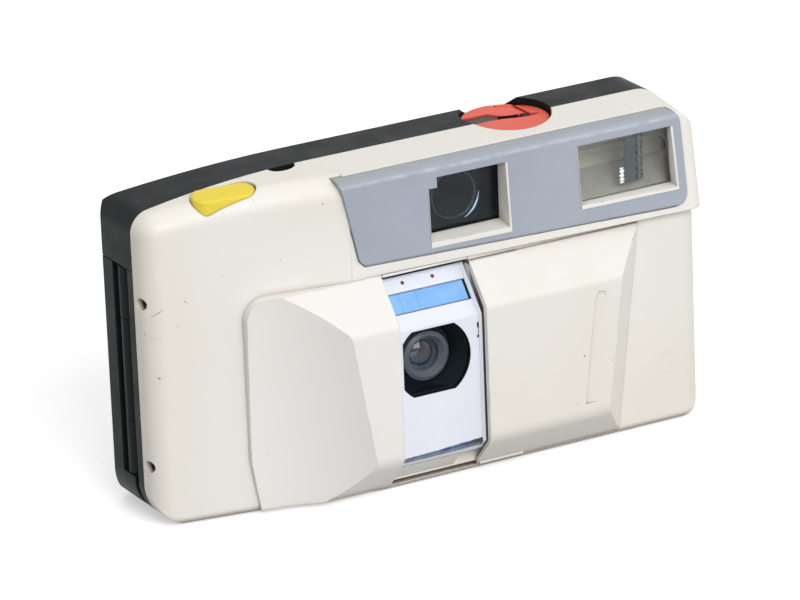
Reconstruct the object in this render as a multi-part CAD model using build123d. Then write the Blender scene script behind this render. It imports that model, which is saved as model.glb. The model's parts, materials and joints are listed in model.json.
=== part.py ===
from build123d import *
import math
import os

os.makedirs("parts", exist_ok=True)

# Compact 35 mm camera with a built-in flash and a sliding lens cover.
# Millimetres. X runs to the right of the front view, Y towards the film door and Z up.
# The origin is the middle of the base. Y = 0 is the seam between the pale front cover and the black back.

# Outer size
BODY_W = 132.4
BODY_H = 73.7
BODY_BACK = 19.5
BODY_FRONT = 13.5
HALF_W = BODY_W / 2
WALL = 1.8
GAP = 0.15
FAR = 100.0

# Body form
CORNER_R = 5.0
LOW_LEFT_R = 9.0
BASE_EDGE_R = 2.2
SHOULDER_R = 8.0
SHOULDER_START = -24.0
SHOULDER_DROP = 4.0
TOP_SLOPE = 8.0
GRIP_DRAFT = 14.0
GRIP_X = -56.0
GRIP_Y = -6.3
GRIP_SLANT = 0.176
BACK_TOP_BEVEL = 9.0
BACK_SIDE_BEVEL = 5.6
BACK_LOW_BEVEL = 3.0

# Visor over the windows
VISOR_LEFT = -20.5
VISOR_LOW = 49.5
VISOR_BEND = 70.6
VISOR_BEND_Y = -12.6
VISOR_LIP_Y = -16.2
VISOR_TOP = 72.2
VISOR_TOP_Y = -10.5
VISOR_CORNER_R = 3.6
PANEL_T = 1.2
PANEL_PROUD = 0.7
PANEL_LEFT = -22.4
PANEL_RIGHT = 61.6
PANEL_LIP = (-17.3, -12.72, 52.0)

# Windows in the visor, each with its width, its lower edge in front and at the glass
WINDOW_TOP = 68.7
FINDER_X = (-1.7, 17.7)
FINDER_LOW = (53.5, 55.2)
FINDER_GLASS_Y = -10.2
FINDER_TAB = (2.2, 2.3)
FLASH_X = (35.2, 59.3)
FLASH_LOW = (55.0, 56.0)
FLASH_GLASS_Y = -12.2
FLASH_TILT = 0.074
WINDOWS = [(FINDER_X, FINDER_LOW, FINDER_GLASS_Y), (FLASH_X, FLASH_LOW, FLASH_GLASS_Y)]

# Lens hump: grip on the left, sliding cover on the right
HUMP_Y = -20.8
HUMP_TOP = 49.3
HUMP_CREASE = 40.0
HUMP_LOW = 9.3
HUMP_FOOT = 0.9
HUMP_SLOPE_Y = 7.6
HUMP_LEFT = -45.0
GRIP_END = -13.9
GRIP_LEAN = 0.162
GRIP_CREASE_X = -23.05
GRIP_CREASE_Z = 25.0
RIGHT_LEAN = 0.1305
RIGHT_BEVEL = 1.05
RIGHT_FOOT_X = 43.96
FOOT_BAR_END = 1.8

# Sliding lens cover
COVER_LEFT = 7.4
COVER_WALL = 1.3
COVER_FOOT_WALL = 0.75
COVER_TRAVEL = COVER_LEFT - GRIP_END - 0.2
COVER_BACK = -13.8
TONGUE_X = (8.0, 19.0)
LOW_TONGUE_Z = (1.6, 2.2)
HIGH_TONGUE_Z = (47.75, 48.45)
TONGUE_PLAY = 0.15

# Lens
LENS_X = -4.9
LENS_Z = 29.9
LENS_LEFT = GRIP_END + 0.15
LENS_RIGHT = COVER_LEFT - 1.0
PANEL_FACE_Y = -18.9
PANEL_FOOT = (-16.8, 6.45)
PANEL_CREASE = 38.0
PANEL_LOW_CREASE = 8.75
PANEL_TOP = (-11.07, 47.6)
PANEL_WALL = 1.5
OPENING_R = 9.1
OPENING_FLAT = 7.5
BARREL_R = 5.6
BARREL_FRONT = -15.9
STRIPE_Z = (41.0, 44.6)
STRIPE_DEPTH = 0.4

# Shutter behind the lens
SHUTTER_X = (-16.4, 6.4)
SHUTTER_Y = (-6.35, -3.55)
SHUTTER_Z = (18.0, 39.0)
SHUTTER_WALL = 0.8
BLADE_Y = (-5.35, -5.05)
PIVOT = (-12.9, 24.0)

# Film path
FILM_Y = 14.6
GATE_Y = (12.4, 13.6)
GATE_W = 36.0
GATE_H = 24.0
DECK_TOP = 57.2
DECK_LOW = DECK_TOP - 1.6
TRAY_TOP = 3.4
ROOM_WALL = 1.2
ROOM_REAR = 17.5
ROOF_TOP = 54.7
ROOF_T = 0.7
RIM_Y = 4.05
LEFT_RIM_Y = 2.5
CARTRIDGE_X = 27.3
CARTRIDGE_Y = 3.2
CARTRIDGE_R = 12.9
SPOOL_X = -49.5
SPOOL_Y = 8.0
SPOOL_ROOM_R = 10.0
SPOOL_CORE_R = 6.05
SPROCKET_X = -30.3
SPROCKET_Y = 8.6
SPROCKET_R = 6.05
SPROCKET_TEETH = 8
PERFORATION_ROW = 14.1

# Controls
DIAL_R = 9.8
DIAL_TOP = 72.3
DIAL_LOW = 70.0
DIAL_WELL_R = DIAL_R + 0.4
CUP_WALL = 1.2
CUP_FLOOR = 68.9
CUP_LOW = 68.1
SHAFT_R = 2.65
CRANK_PIN_X = CARTRIDGE_X + 5.0
CRANK_PIN_Z = 71.25
CRANK_PIN_R = 0.55
CRANK_BARREL_R = 1.05
WHEEL_R = 12.8
WHEEL_Z = (59.5, 63.5)
WHEEL_GROOVES = 56
BUTTON_X = -46.0
BUTTON_Y = -4.2
BUTTON_L = 14.6
BUTTON_W = 5.4
BUTTON_TURN = -3.0
BUTTON_TILT = 15.0
BUTTON_TOP = 72.4
LAMP_X = 18.5
LAMP_Z = 61.7
LAMP_R = 1.5
COUNTER_X = -29.8
COUNTER_HALF = 3.2
COUNTER_AXIS = (-25.6, 3.0)
COUNTER_TEETH = 32

# Film door and its hinge
DOOR_Y = 4.2
DOOR_LOW = 3.6
DOOR_TOP = 57.05
HINGE_X = -HALF_W + 2.3
HINGE_Y = 6.5
KNUCKLE_R = 2.2
PIN_R = 0.8
PIN_PLAY = 0.04
HINGE_Z = (9.8, 56.8)
FRAME_KNUCKLE_Z = (22.0, 45.0)
DOOR_KNUCKLE_Z = [(9.8, 21.85), (45.15, 56.8)]
LATCH_Z = (24.0, 34.0)
FILM_WINDOW_X = (19.6, 34.9)
FILM_WINDOW_Z = (16.1, 43.9)
PLATE_X = (-21.8, 12.8)
PLATE_Z = (13.2, 46.6)
SPRING_X = (-6.9, -2.9)

# Batteries and their sliding door in the base
CELL_R = 7.25
CELL_Z = (2.8, 53.3)
CELLS = [(49.8, -3.9), (55.8, 9.4)]
BAY_LEFT = 42.5
BAY_REAR = 16.8
BAY_FRONT = -10.6
HATCH_X = 42.3
HATCH_Y = (-11.1, 17.0)
HATCH_TOP = 2.76

# Strap bar in its recess at the right
STRAP_Y = 8.0
STRAP_Z = (59.6, 65.4)
STRAP_R = 0.8

# Screws in the side walls, as (y, z)
SCREWS = [(-2.1, 50.6), (-2.0, 13.7)]
SCREW_HEAD_R = 1.15
SCREW_R = 0.8
SCREW_HEAD_DEPTH = (1.5, 2.95)


def block(x0, x1, y0, y1, z0, z1):
    size = Box(x1 - x0, y1 - y0, z1 - z0)
    return Pos((x0 + x1) / 2, (y0 + y1) / 2, (z0 + z1) / 2) * size


def rod_z(x, y, radius, z0, z1):
    return Pos(x, y, (z0 + z1) / 2) * Cylinder(radius, z1 - z0)


def rod_y(x, z, radius, y0, y1):
    return Pos(x, (y0 + y1) / 2, z) * Rot(90, 0, 0) * Cylinder(radius, y1 - y0)


def rod_x(y, z, radius, x0, x1):
    return Pos((x0 + x1) / 2, y, z) * Rot(0, 90, 0) * Cylinder(radius, x1 - x0)


def ring_z(x, y, radius, thick, z0, z1):
    return rod_z(x, y, radius + thick, z0, z1) - rod_z(x, y, radius, z0, z1)


def outline(*points):
    return make_face(Polyline(*points, close=True))


def front_plane(y):
    """Sketch plane facing the front: sketch X is X and sketch Y is Z."""
    return Plane(origin=(0, y, 0), x_dir=(1, 0, 0), z_dir=(0, -1, 0))


def prism_x(face, x0, x1):
    return extrude(Plane.YZ.offset(x0) * face, x1 - x0)


def prism_y(face, y0, y1):
    return extrude(front_plane(y1) * face, y1 - y0)


def prism_z(face, z0, z1):
    return extrude(Plane.XY.offset(z0) * face, z1 - z0)


def behind(point, normal):
    """The half space on the inner side of a plane."""
    plane = Plane(origin=point, z_dir=normal)
    return plane * Box(400, 400, 200, align=(Align.CENTER, Align.CENTER, Align.MAX))


def turned_copies(x, y, count, tool):
    """Copies of a tool spaced evenly round an upright axis."""
    copies = []
    for i in range(count):
        turn = Rot(0, 0, (i + 0.5) * 360 / count)
        copies.append(Pos(x, y, 0) * turn * tool)
    return copies


# Body halves

def end_face(inset, low):
    """Front-view outline: gentle grip shoulder on the left, round shoulder on the right."""
    left = -HALF_W + inset
    right = HALF_W - inset
    top = BODY_H - inset
    shoulder = SHOULDER_R - inset
    edges = [
        Line((left, low), (right, low)),
        Line((right, low), (right, top - shoulder)),
        JernArc((right, top - shoulder), (0, 1), shoulder, 90),
        Line((right - shoulder, top), (SHOULDER_START, top)),
        TangentArc((SHOULDER_START, top), (left, top - SHOULDER_DROP), tangent=(-1, 0)),
        Line((left, top - SHOULDER_DROP), (left, low)),
    ]
    return make_face(edges)


def front_envelope(inset, depth):
    """Top surface sloping to the front, cut level at the base."""
    slope = math.radians(TOP_SLOPE)
    face = front_plane(0) * end_face(inset, -40)
    top = extrude(face, depth / math.cos(slope), dir=(0, -math.cos(slope), -math.sin(slope)))
    return top & block(-HALF_W, HALF_W, -depth, 0, inset, FAR)


def edges_along_y(form, side, low, high):
    """Lengthwise edges at one side of the body between two heights."""
    found = []
    for edge in form.edges():
        size = edge.bounding_box().size
        middle = edge.center()
        if size.Y > 3 and size.Z < 3 and size.X < 3 and side * middle.X > 60 and low < middle.Z < high:
            found.append(edge)
    return found


def low_left_limit(inset):
    """Room that rounds off the foot of the grip in the front view."""
    left = -HALF_W + inset
    radius = LOW_LEFT_R - inset
    end = 0.95 * radius
    middle = (1 - math.sqrt(0.5)) * radius
    edges = [
        ThreePointArc((left, inset + end), (left + middle, inset + middle), (left + end, inset)),
        Line((left + end, inset), (left + end, -20)),
        Line((left + end, -20), (FAR, -20)),
        Line((FAR, -20), (FAR, FAR)),
        Line((FAR, FAR), (-FAR, FAR)),
        Line((-FAR, FAR), (-FAR, inset + end)),
        Line((-FAR, inset + end), (left, inset + end)),
    ]
    return prism_y(make_face(edges), -40, 40)


def front_form(inset=0.0):
    """Front half of the body without visor and hump, all edges rounded."""
    left = -HALF_W + inset
    draft = math.tan(math.radians(GRIP_DRAFT))
    front = -BODY_FRONT + inset
    grip = GRIP_Y + inset
    corner_x = (left - draft * (grip + GRIP_SLANT * GRIP_X)) / (1 - draft * GRIP_SLANT)
    corner_y = grip - GRIP_SLANT * (corner_x - GRIP_X)
    join_x = GRIP_X + (grip - front) / GRIP_SLANT
    plan = outline((left, 0), (corner_x, corner_y), (join_x, front), (80, front), (80, 0))
    form = front_envelope(inset, 24) & prism_z(plan, -5, 90)
    rounded = edges_along_y(form, -1, -1, BODY_H) + edges_along_y(form, 1, -1, inset + 1)
    for edge in form.edges():
        size = edge.bounding_box().size
        middle = edge.center()
        if middle.X < -60 and size.Z > 50 and middle.Y < -2:
            rounded.append(edge)
        elif middle.Z > 60 and middle.Y < -4 and size.X > 20:
            rounded.append(edge)
    form = fillet(rounded, CORNER_R - 0.6 * inset)
    low = []
    for edge in form.edges():
        box = edge.bounding_box()
        if box.max.Z < CORNER_R + 2 and box.max.Y < -0.5:
            low.append(edge)
    return fillet(low, BASE_EDGE_R) & low_left_limit(inset)


def back_form(inset=0.0, front=0.0):
    """Black back half: the front-view outline drawn back, with bevelled rear edges."""
    face = end_face(inset, inset)
    form = extrude(front_plane(front) * face, -(BODY_BACK - inset - front))
    form = fillet(edges_along_y(form, 1, -1, inset + 1), CORNER_R - inset)
    form = fillet(edges_along_y(form, -1, 60, BODY_H), CORNER_R - 0.6 * inset) & low_left_limit(inset)
    top_y = BODY_BACK - BACK_TOP_BEVEL
    side_y = BODY_BACK - BACK_SIDE_BEVEL
    shift = inset * (math.sqrt(2) - 1)
    form &= behind((0, top_y - shift, BODY_H - inset), (0, 1, 1))
    form &= behind((-HALF_W + inset, side_y - shift, 0), (-1, 1, 0))
    form &= behind((HALF_W - inset, side_y - shift, 0), (1, 1, 0))
    return form & behind((0, BODY_BACK - BACK_LOW_BEVEL - shift, inset), (0, 1, -1))


def back_shell():
    """Wall of the black back half, open towards the front."""
    return back_form(0, GAP) - back_form(WALL, -1)


def inside_door(shape, margin=0.3):
    """Trim to the room inside the door's bevelled corners."""
    y = BODY_BACK - BACK_SIDE_BEVEL - WALL * (math.sqrt(2) - 1) - margin
    shape &= behind((WALL - HALF_W, y, 0), (-1, 1, 0))
    return shape & behind((HALF_W - WALL, y, 0), (1, 1, 0))


# Visor

def visor_section(z, low_y, right_y, start):
    """Plan of the visor at one height, with its rounded right corner."""
    r = VISOR_CORNER_R
    lean = (right_y - low_y) / (HALF_W - VISOR_LEFT)
    left_y = low_y + lean * (start - VISOR_LEFT)
    corner_y = right_y - lean * r
    corner = ThreePointArc(
        (HALF_W - r, corner_y),
        (HALF_W - 0.3 * r, corner_y + 0.3 * r),
        (HALF_W, corner_y + r),
    )
    edges = [
        Line((start, 0), (start, left_y)),
        Line((start, left_y), (HALF_W - r, corner_y)),
        corner,
        Line((HALF_W, corner_y + r), (HALF_W, 0)),
        Line((HALF_W, 0), (start, 0)),
    ]
    return Plane.XY.offset(z) * make_face(edges)


def visor_front(inset=0.0, low=VISOR_LOW, start=VISOR_LEFT):
    """Leaning face of the visor and the band above its bend, as one block."""
    bend_y = VISOR_BEND_Y + inset
    rise = 3.2
    over_y = bend_y + rise * (VISOR_TOP_Y - VISOR_BEND_Y) / (VISOR_TOP - VISOR_BEND)
    lower = visor_section(low, bend_y, VISOR_LIP_Y + inset, start)
    bend = visor_section(VISOR_BEND, bend_y, bend_y, start)
    over = visor_section(VISOR_BEND + rise, over_y, over_y, start)
    return loft([lower, bend], ruled=True) + loft([bend, over], ruled=True)


def panel_outline(grow=0.0):
    """Front view of the grey-blue panel: flared left end, round corners on the right."""
    left, right, top = PANEL_LEFT, PANEL_RIGHT, VISOR_TOP
    face = outline(
        (left - 0.8, top),
        (left, top - 2.2),
        (left + 3.6, 53.6),
        (left + 5.1, 52.0),
        (right, 50.85),
        (right, top),
    )
    if grow:
        face = offset(face, grow, kind=Kind.INTERSECTION)
    corners = face.vertices().filter_by(lambda v: v.X > right - 1)
    return fillet(corners, 3.2 + grow)


def window_reveal(x_range, low, glass_y):
    """Window opening through the visor, with a sill that rises inwards."""
    x0, x1 = x_range
    low_front, low_glass = low
    z1 = WINDOW_TOP
    front = outline((x0, low_front), (x1, low_front), (x1, z1), (x0, z1))
    inner = outline((x0 + 0.3, low_glass), (x1 - 0.4, low_glass), (x1 - 0.4, z1), (x0 + 0.3, z1))
    return loft([front_plane(-18.0) * front, front_plane(glass_y) * inner], ruled=True)


def flash_slab(front, back, margin):
    """Slab parallel to the tilted flash window, reaching from front to back of its face."""
    x0, x1 = FLASH_X
    z0, z1 = FLASH_LOW[0] - margin, WINDOW_TOP + margin
    lean = FLASH_TILT * (WINDOW_TOP - z0)
    low_y = FLASH_GLASS_Y - lean
    high_y = FLASH_GLASS_Y + FLASH_TILT * margin
    side = outline((low_y + front, z0), (low_y + back, z0), (high_y + back, z1), (high_y + front, z1))
    return prism_x(side, x0 - margin, x1 + margin)


# Lens hump

def hump_face(inset=0.0):
    """Side profile of the hump: sloping roof, upright face and curved underside."""
    roof = (HUMP_TOP - HUMP_CREASE) / HUMP_SLOPE_Y
    roof_shift = inset * math.sqrt(1 + roof * roof)
    foot = (HUMP_LOW - HUMP_FOOT) / HUMP_SLOPE_Y
    foot_shift = inset * math.sqrt(1 + foot * foot)
    face_y = HUMP_Y + inset
    crease = HUMP_CREASE - roof_shift + roof * inset
    low = HUMP_LOW + foot_shift - foot * inset
    back_y = -5.0
    roof_y = face_y + (HUMP_TOP - inset - crease) / roof
    foot_y = face_y + (low - HUMP_FOOT - inset) / foot
    face = outline(
        (back_y, HUMP_FOOT + inset),
        (foot_y, HUMP_FOOT + inset),
        (face_y, low),
        (face_y, crease),
        (roof_y, HUMP_TOP - inset),
        (back_y, HUMP_TOP - inset),
    )
    upper = face.vertices().filter_by(lambda v: v.X < face_y + 0.1 and v.Y > 20)
    face = fillet(upper, 2.5 - 0.5 * inset)
    lower = face.vertices().filter_by(lambda v: v.X < face_y + 0.1 and v.Y < 20)
    return fillet(lower, 5.0 - inset)


def right_side(inset=0.0):
    """Leaning bevel that closes the hump on the right."""
    normal = (1, -RIGHT_BEVEL, -RIGHT_LEAN)
    length = math.sqrt(sum(n * n for n in normal))
    x = RIGHT_FOOT_X - inset * length
    return behind((x, -BODY_FRONT, 0), normal)


def grip_hollow(inset=0.0):
    """Hollowed left flank of the hump where the fingers lie, leaning with its crease."""
    x = GRIP_CREASE_X + GRIP_LEAN * GRIP_CREASE_Z + inset
    face_y = HUMP_Y + inset
    end_x, end_y = x - 24, face_y + 11.4
    far_x, far_y = 40, -2.0
    edges = [
        ThreePointArc((x, face_y), (x - 9.45, face_y + 6.9), (end_x, end_y)),
        Line((end_x, end_y), (end_x, far_y)),
        Line((end_x, far_y), (far_x, far_y)),
        Line((far_x, far_y), (far_x, face_y - 5)),
        Line((far_x, face_y - 5), (x, face_y - 5)),
        Line((x, face_y - 5), (x, face_y)),
    ]
    length = 60 * math.sqrt(1 + GRIP_LEAN * GRIP_LEAN)
    return extrude(make_face(edges), length, dir=(-GRIP_LEAN, 0, 1))


def grip_form(inset=0.0):
    """Fixed left part of the hump."""
    left = HUMP_LEFT + inset
    form = prism_x(hump_face(inset), left, GRIP_END - inset)
    form &= grip_hollow(inset)
    front = outline((left, -5), (0, -5), (0, HUMP_TOP - inset), (left, HUMP_TOP - inset))
    corner = front.vertices().filter_by(lambda v: v.X < left + 1 and v.Y > 40)
    return form & prism_y(fillet(corner, 5.0), -30, 0)


def front_shape(inset=0.0):
    """Whole front of the camera: body, visor and grip."""
    form = front_form(inset)
    form -= block(VISOR_LEFT, 80, -30, 5, VISOR_LOW + inset, 90)
    form += visor_front(inset, VISOR_LOW + inset) & front_envelope(inset, 24)
    return form + grip_form(inset)


# Lens surroundings

def lens_panel_face(inset):
    """Side profile of the lens panel: sloping facet above, short foot below."""
    roof = (PANEL_TOP[1] - PANEL_CREASE) / (PANEL_TOP[0] - PANEL_FACE_Y)
    foot = (PANEL_LOW_CREASE - PANEL_FOOT[1]) / (PANEL_FOOT[0] - PANEL_FACE_Y)
    roof_shift = inset * math.sqrt(1 + roof * roof)
    foot_shift = inset * math.sqrt(1 + foot * foot)
    y = PANEL_FACE_Y + inset
    back = PANEL_TOP[0] + (3 if inset else 0)
    return outline(
        (back, PANEL_FOOT[1] + inset),
        (PANEL_FOOT[0] - (inset - foot_shift) / foot, PANEL_FOOT[1] + inset),
        (y, PANEL_LOW_CREASE + foot_shift - foot * inset),
        (y, PANEL_CREASE - roof_shift + roof * inset),
        (back, PANEL_CREASE - roof_shift + roof * (back - PANEL_FACE_Y)),
    )


def on_roof(z, lift):
    """Point of the sloping facet at height z, lifted off its surface."""
    roof = (PANEL_TOP[1] - PANEL_CREASE) / (PANEL_TOP[0] - PANEL_FACE_Y)
    length = math.sqrt(1 + roof * roof)
    y = PANEL_FACE_Y + (z - PANEL_CREASE) / roof
    return (y - lift * roof / length, z + lift / length)


def facet_band(low, high, under, over):
    """Side profile of a band lying on the sloping facet."""
    return outline(on_roof(low, -under), on_roof(high, -under), on_roof(high, over), on_roof(low, over))


def opening_face():
    """Round lens opening with flats above, below and on the grip side."""
    limit = Rectangle(OPENING_FLAT + 20, 2 * OPENING_FLAT, align=(Align.MIN, Align.CENTER))
    return Pos(LENS_X, LENS_Z) * (Circle(OPENING_R) & (Pos(-OPENING_FLAT, 0) * limit))


def funnel(r_front, r_back, flat):
    """Tapering space round the lens with the flats of the opening."""
    cone = Pos(LENS_X, -15.45, LENS_Z) * Rot(90, 0, 0) * Cone(r_back, r_front, 3.9)
    return cone & block(LENS_X - flat, LENS_X + 20, -20, -10, LENS_Z - flat, LENS_Z + flat)


def lens_rod(radius, y0, y1):
    return rod_y(LENS_X, LENS_Z, radius, y0, y1)


def lens_ball(y, radius):
    return Pos(LENS_X, y, LENS_Z) * Sphere(radius)


# Front cover

def finder_tab_gap(margin):
    """Corner of the finder window that stays filled by the panel."""
    x0 = FINDER_X[0]
    tab_w, tab_h = FINDER_TAB
    return block(x0 - 1, x0 + tab_w, -22, 0, WINDOW_TOP - tab_h - margin, WINDOW_TOP + 1)


def panel_bed():
    return prism_y(panel_outline(0.15), -22, -9) & block(VISOR_LEFT, 80, -22, 0, 50, 73)


def cut_windows(cover):
    """Frames, rims and openings of both windows."""
    for x_range, low, glass_y in WINDOWS:
        x0, x1 = x_range
        frame = block(x0 - 1.2, x1 + 1.2, -20, glass_y, low[0] - 1.2, WINDOW_TOP + 1.2)
        cover += frame & front_shape()
    cover -= panel_bed() - visor_front(PANEL_T - PANEL_PROUD)
    for x_range, low, glass_y in WINDOWS:
        x0, x1 = x_range
        rim = block(x0 + 0.05, x1 + 0.3, -20, glass_y, low[0] - 0.35, WINDOW_TOP - 0.05)
        if x_range == FINDER_X:
            rim -= finder_tab_gap(0.1)
        cover += rim & visor_front(-PANEL_PROUD)
        cover -= window_reveal(x_range, low, glass_y)
    return cover - flash_slab(0, 6, 0.9)


def cut_cover_slots(cover):
    """Lens opening, foot bar and the slots in which the sliding cover runs."""
    foot_y, foot_z = PANEL_FOOT
    cover -= block(GRIP_END, COVER_LEFT, -22, -11.6, foot_z - 0.1, VISOR_LOW)
    bar = outline((foot_y + 0.05, foot_z - 0.1), (-13.6, 2.9), (-12, 2.9), (-12, foot_z - 0.1))
    cover += prism_x(bar, GRIP_END - 0.1, FOOT_BAR_END)
    left = TONGUE_X[0] - COVER_TRAVEL - 2 * TONGUE_PLAY
    right = TONGUE_X[1] + 2 * TONGUE_PLAY
    for low, high in (LOW_TONGUE_Z, HIGH_TONGUE_Z):
        cover -= block(left, right, -18, -10, low - TONGUE_PLAY, high + TONGUE_PLAY)
    return cover


def cut_control_holes(cover):
    """Button hole, dial well, counter notch, side screws and battery hatch."""
    cover -= prism_z(button_plan(0.3), 60, 80)
    cover -= rod_z(CARTRIDGE_X, CARTRIDGE_Y, DIAL_WELL_R, 66, 80)
    cover -= prism_z(Pos(COUNTER_X, 0) * Ellipse(COUNTER_HALF, 2.2), 66, 80)
    middle = block(-58, 58, -30, 30, 0, 80)
    for y, z in SCREWS:
        cover -= rod_x(y, z, SCREW_HEAD_R + 0.15, -70, 70) - middle
    cover -= block(HATCH_X, 70, HATCH_Y[0], 1, -1, HATCH_TOP)
    return cover - block(HATCH_X, 70, HATCH_Y[0] - 0.8, 1, 0.95, 1.8)


def front_cover():
    cover = front_shape() - front_shape(WALL)
    cover = cut_windows(cover)
    cover = cut_cover_slots(cover)
    return cut_control_holes(cover)


def fascia_panel():
    """Grey-blue panel, standing proud with a bevelled lower lip."""
    panel = prism_y(panel_outline(), -22, -9) & visor_front(-PANEL_PROUD, 48, -27)
    panel &= behind(PANEL_LIP, (-0.053, -1, -1))
    for x_range, low, _ in WINDOWS:
        x0, x1 = x_range
        hole = block(x0, x1 + 0.35, -22, -5, low[0] - 0.4, WINDOW_TOP)
        if x_range == FINDER_X:
            hole -= finder_tab_gap(0)
        panel -= hole
    panel -= front_shape() - panel_bed()
    return panel - (visor_front(PANEL_T - PANEL_PROUD) & block(VISOR_LEFT, 70, -22, 0, 48, 76))


# Finder and flash behind the visor

def viewfinder_window():
    x0, x1 = FINDER_X[0] - 0.8, FINDER_X[1] + 0.8
    y = FINDER_GLASS_Y
    dish_r = 60
    dish = Pos((x0 + x1) / 2, y + 1.0 + dish_r, 62) * Sphere(dish_r)
    return block(x0, x1, y, y + 1.6, 53.6, 69.5) - dish


def finder_section(y, x0, x1, z0, z1):
    return front_plane(y) * outline((x0, z0), (x1, z0), (x1, z1), (x0, z1))


def finder_hull(t):
    """Finder tunnel narrowing to the eyepiece, thickened by t."""
    front = finder_section(-7.8, -1.2 - t, 18.0 + t, 55.6 - t, 69.2 + t)
    neck = finder_section(0.2, -0.4 - t, 15.4 + t, 58.2 - t, 67.8 + t)
    rear = finder_section(15.9, 2.9 - t, 12.5 + t, 59.6 - t, 65.0 + t)
    return loft([front, neck], ruled=True) + loft([neck, rear], ruled=True)


def viewfinder_eyepiece():
    bulge = Pos(7.7, -20.8, 62.3) * Sphere(40) & block(3.0, 12.4, 18.0, 19.4, 59.6, 65.0)
    return block(2.8, 12.6, 16.0, 18.3, 59.4, 65.2) + bulge


FLASH_TUBE_Y = -6.0
FLASH_TUBE_Z = 62.3
FLASH_TUBE_R = 1.45


def flash_reflector():
    """Trough open to the front, pierced at both ends by the tube."""
    inner = outline((-10.8, 55.4), (-10.8, 68.8), (-4.4, 64.2), (-4.4, 60.4))
    outer = outline((-10.8, 54.8), (-10.8, 69.3), (-3.8, 64.5), (-3.8, 60.1))
    trough = prism_x(outer, 34.6, 61.6) - prism_x(inner, 35.2, 61.0)
    return trough - rod_x(FLASH_TUBE_Y, FLASH_TUBE_Z, FLASH_TUBE_R + 0.15, 30, 66)


def flash_contact():
    """Upright spring contact seen through the flash window."""
    x, y = 52.8, -9.7
    coil = rod_z(x, y, 0.65, 57.1, 67.4)
    pitch = 1.27
    for i in range(8):
        coil += rod_z(x, y, 0.95, 57.3 + pitch * i, 57.95 + pitch * i)
    return coil


def circuit_board():
    board = block(-38, -15.5, -2.6, -1.2, 6, 50)
    for z in (9, 47):
        board -= rod_y(-35, z, 1.1, -5, 0)
    return board


# Lens, hood and shutter

def lens_panel():
    """Box with the sloping stripe above the opening and a sloping foot."""
    panel = prism_x(lens_panel_face(0), LENS_LEFT, LENS_RIGHT)
    panel -= prism_x(lens_panel_face(PANEL_WALL), LENS_LEFT + 0.55, LENS_RIGHT - 0.6)
    panel -= prism_y(opening_face(), -20, -15)
    panel -= block(LENS_RIGHT - 0.35, LENS_RIGHT + 1, -20, -18.2, 34.9, 36.3)
    low, high = STRIPE_Z
    bed = facet_band(low - 0.1, high + 0.1, STRIPE_DEPTH, 1)
    return panel - prism_x(bed, LENS_LEFT + 0.4, LENS_RIGHT - 0.2)


def blue_stripe():
    """Inlaid stripe with two fine grooves."""
    low, high = STRIPE_Z
    stripe = prism_x(facet_band(low, high, STRIPE_DEPTH, 0.06), LENS_LEFT + 0.5, LENS_RIGHT - 0.3)
    for x in (LENS_X - 3.4, LENS_X + 3.0):
        stripe -= prism_x(facet_band(low - 0.5, high + 0.5, 0.12, 1), x, x + 0.3)
    return stripe


def lens_hood():
    """Funnel between the opening and the barrel."""
    hood = funnel(10.0, 8.3, OPENING_FLAT + 0.65) & block(-20, LENS_RIGHT - 0.65, -20, -10, 15, 45)
    hood &= prism_x(lens_panel_face(PANEL_WALL + 0.05), -20, 10) + block(-20, 10, -13.6, -10, 15, 45)
    hood -= funnel(OPENING_R, 6.7, OPENING_FLAT - 0.2)
    hood += lens_rod(8.3, -13.5, -12.7)
    return hood - lens_rod(BARREL_R + 0.12, -20, -10)


def lens_barrel():
    """Turned barrel with seats for both elements and a mounting flange."""
    profile = outline(
        (4.7, BARREL_FRONT),
        (BARREL_R, BARREL_FRONT + 0.5),
        (BARREL_R, -8.0),
        (7.6, -8.0),
        (7.6, -6.4),
        (3.3, -6.4),
        (3.3, -9.3),
        (2.6, -9.3),
        (2.6, -12.3),
        (3.6, -12.3),
        (3.6, -14.6),
    )
    return Pos(LENS_X, 0, LENS_Z) * revolve(Plane.XY * profile, Axis.Y)


def front_lens():
    """Meniscus: a domed front with a dished back."""
    outer_r, inner_r = 5.6, 6.0
    element = lens_rod(3.55, -15, -12.35) & lens_ball(-14.9 + outer_r, outer_r)
    return element - (lens_ball(-13.1 + inner_r, inner_r) & lens_rod(2.4, -14, -10))


def rear_lens():
    front_r, back_r = 9, 12
    element = lens_rod(3.25, -9.3, -7) & lens_ball(-9.2 + front_r, front_r)
    return element & lens_ball(-7.0 - back_r, back_r)


def shutter_block(inset, y0, y1):
    x0, x1 = SHUTTER_X
    z0, z1 = SHUTTER_Z
    return block(x0 + inset, x1 - inset, y0, y1, z0 + inset, z1 - inset)


def shutter_housing():
    """Tray with the aperture and the blade's pivot."""
    y0, y1 = SHUTTER_Y
    tray = shutter_block(0, y0, y1) - shutter_block(SHUTTER_WALL, -5.5, -3)
    tray -= lens_rod(2.5, -8, 0)
    return tray + rod_y(*PIVOT, 0.8, -5.6, -4.5)


def shutter_blade():
    """Arm from the pivot to the disc that covers the aperture."""
    px, pz = PIVOT
    arm = outline(
        (px - 0.7, pz + 1.2),
        (px + 0.9, pz - 1.0),
        (LENS_X + 1.0, LENS_Z - 2.6),
        (LENS_X - 2.6, LENS_Z + 1.6),
    )
    blade = prism_y(arm, *BLADE_Y) + rod_y(px, pz, 1.7, *BLADE_Y) + lens_rod(3.5, *BLADE_Y)
    return blade - rod_y(px, pz, 0.86, -6, -4)


def shutter_cover():
    return shutter_block(SHUTTER_WALL + 0.05, -4.45, -3.6) - lens_rod(3.4, -6, -3)


# Sliding lens cover

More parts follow.
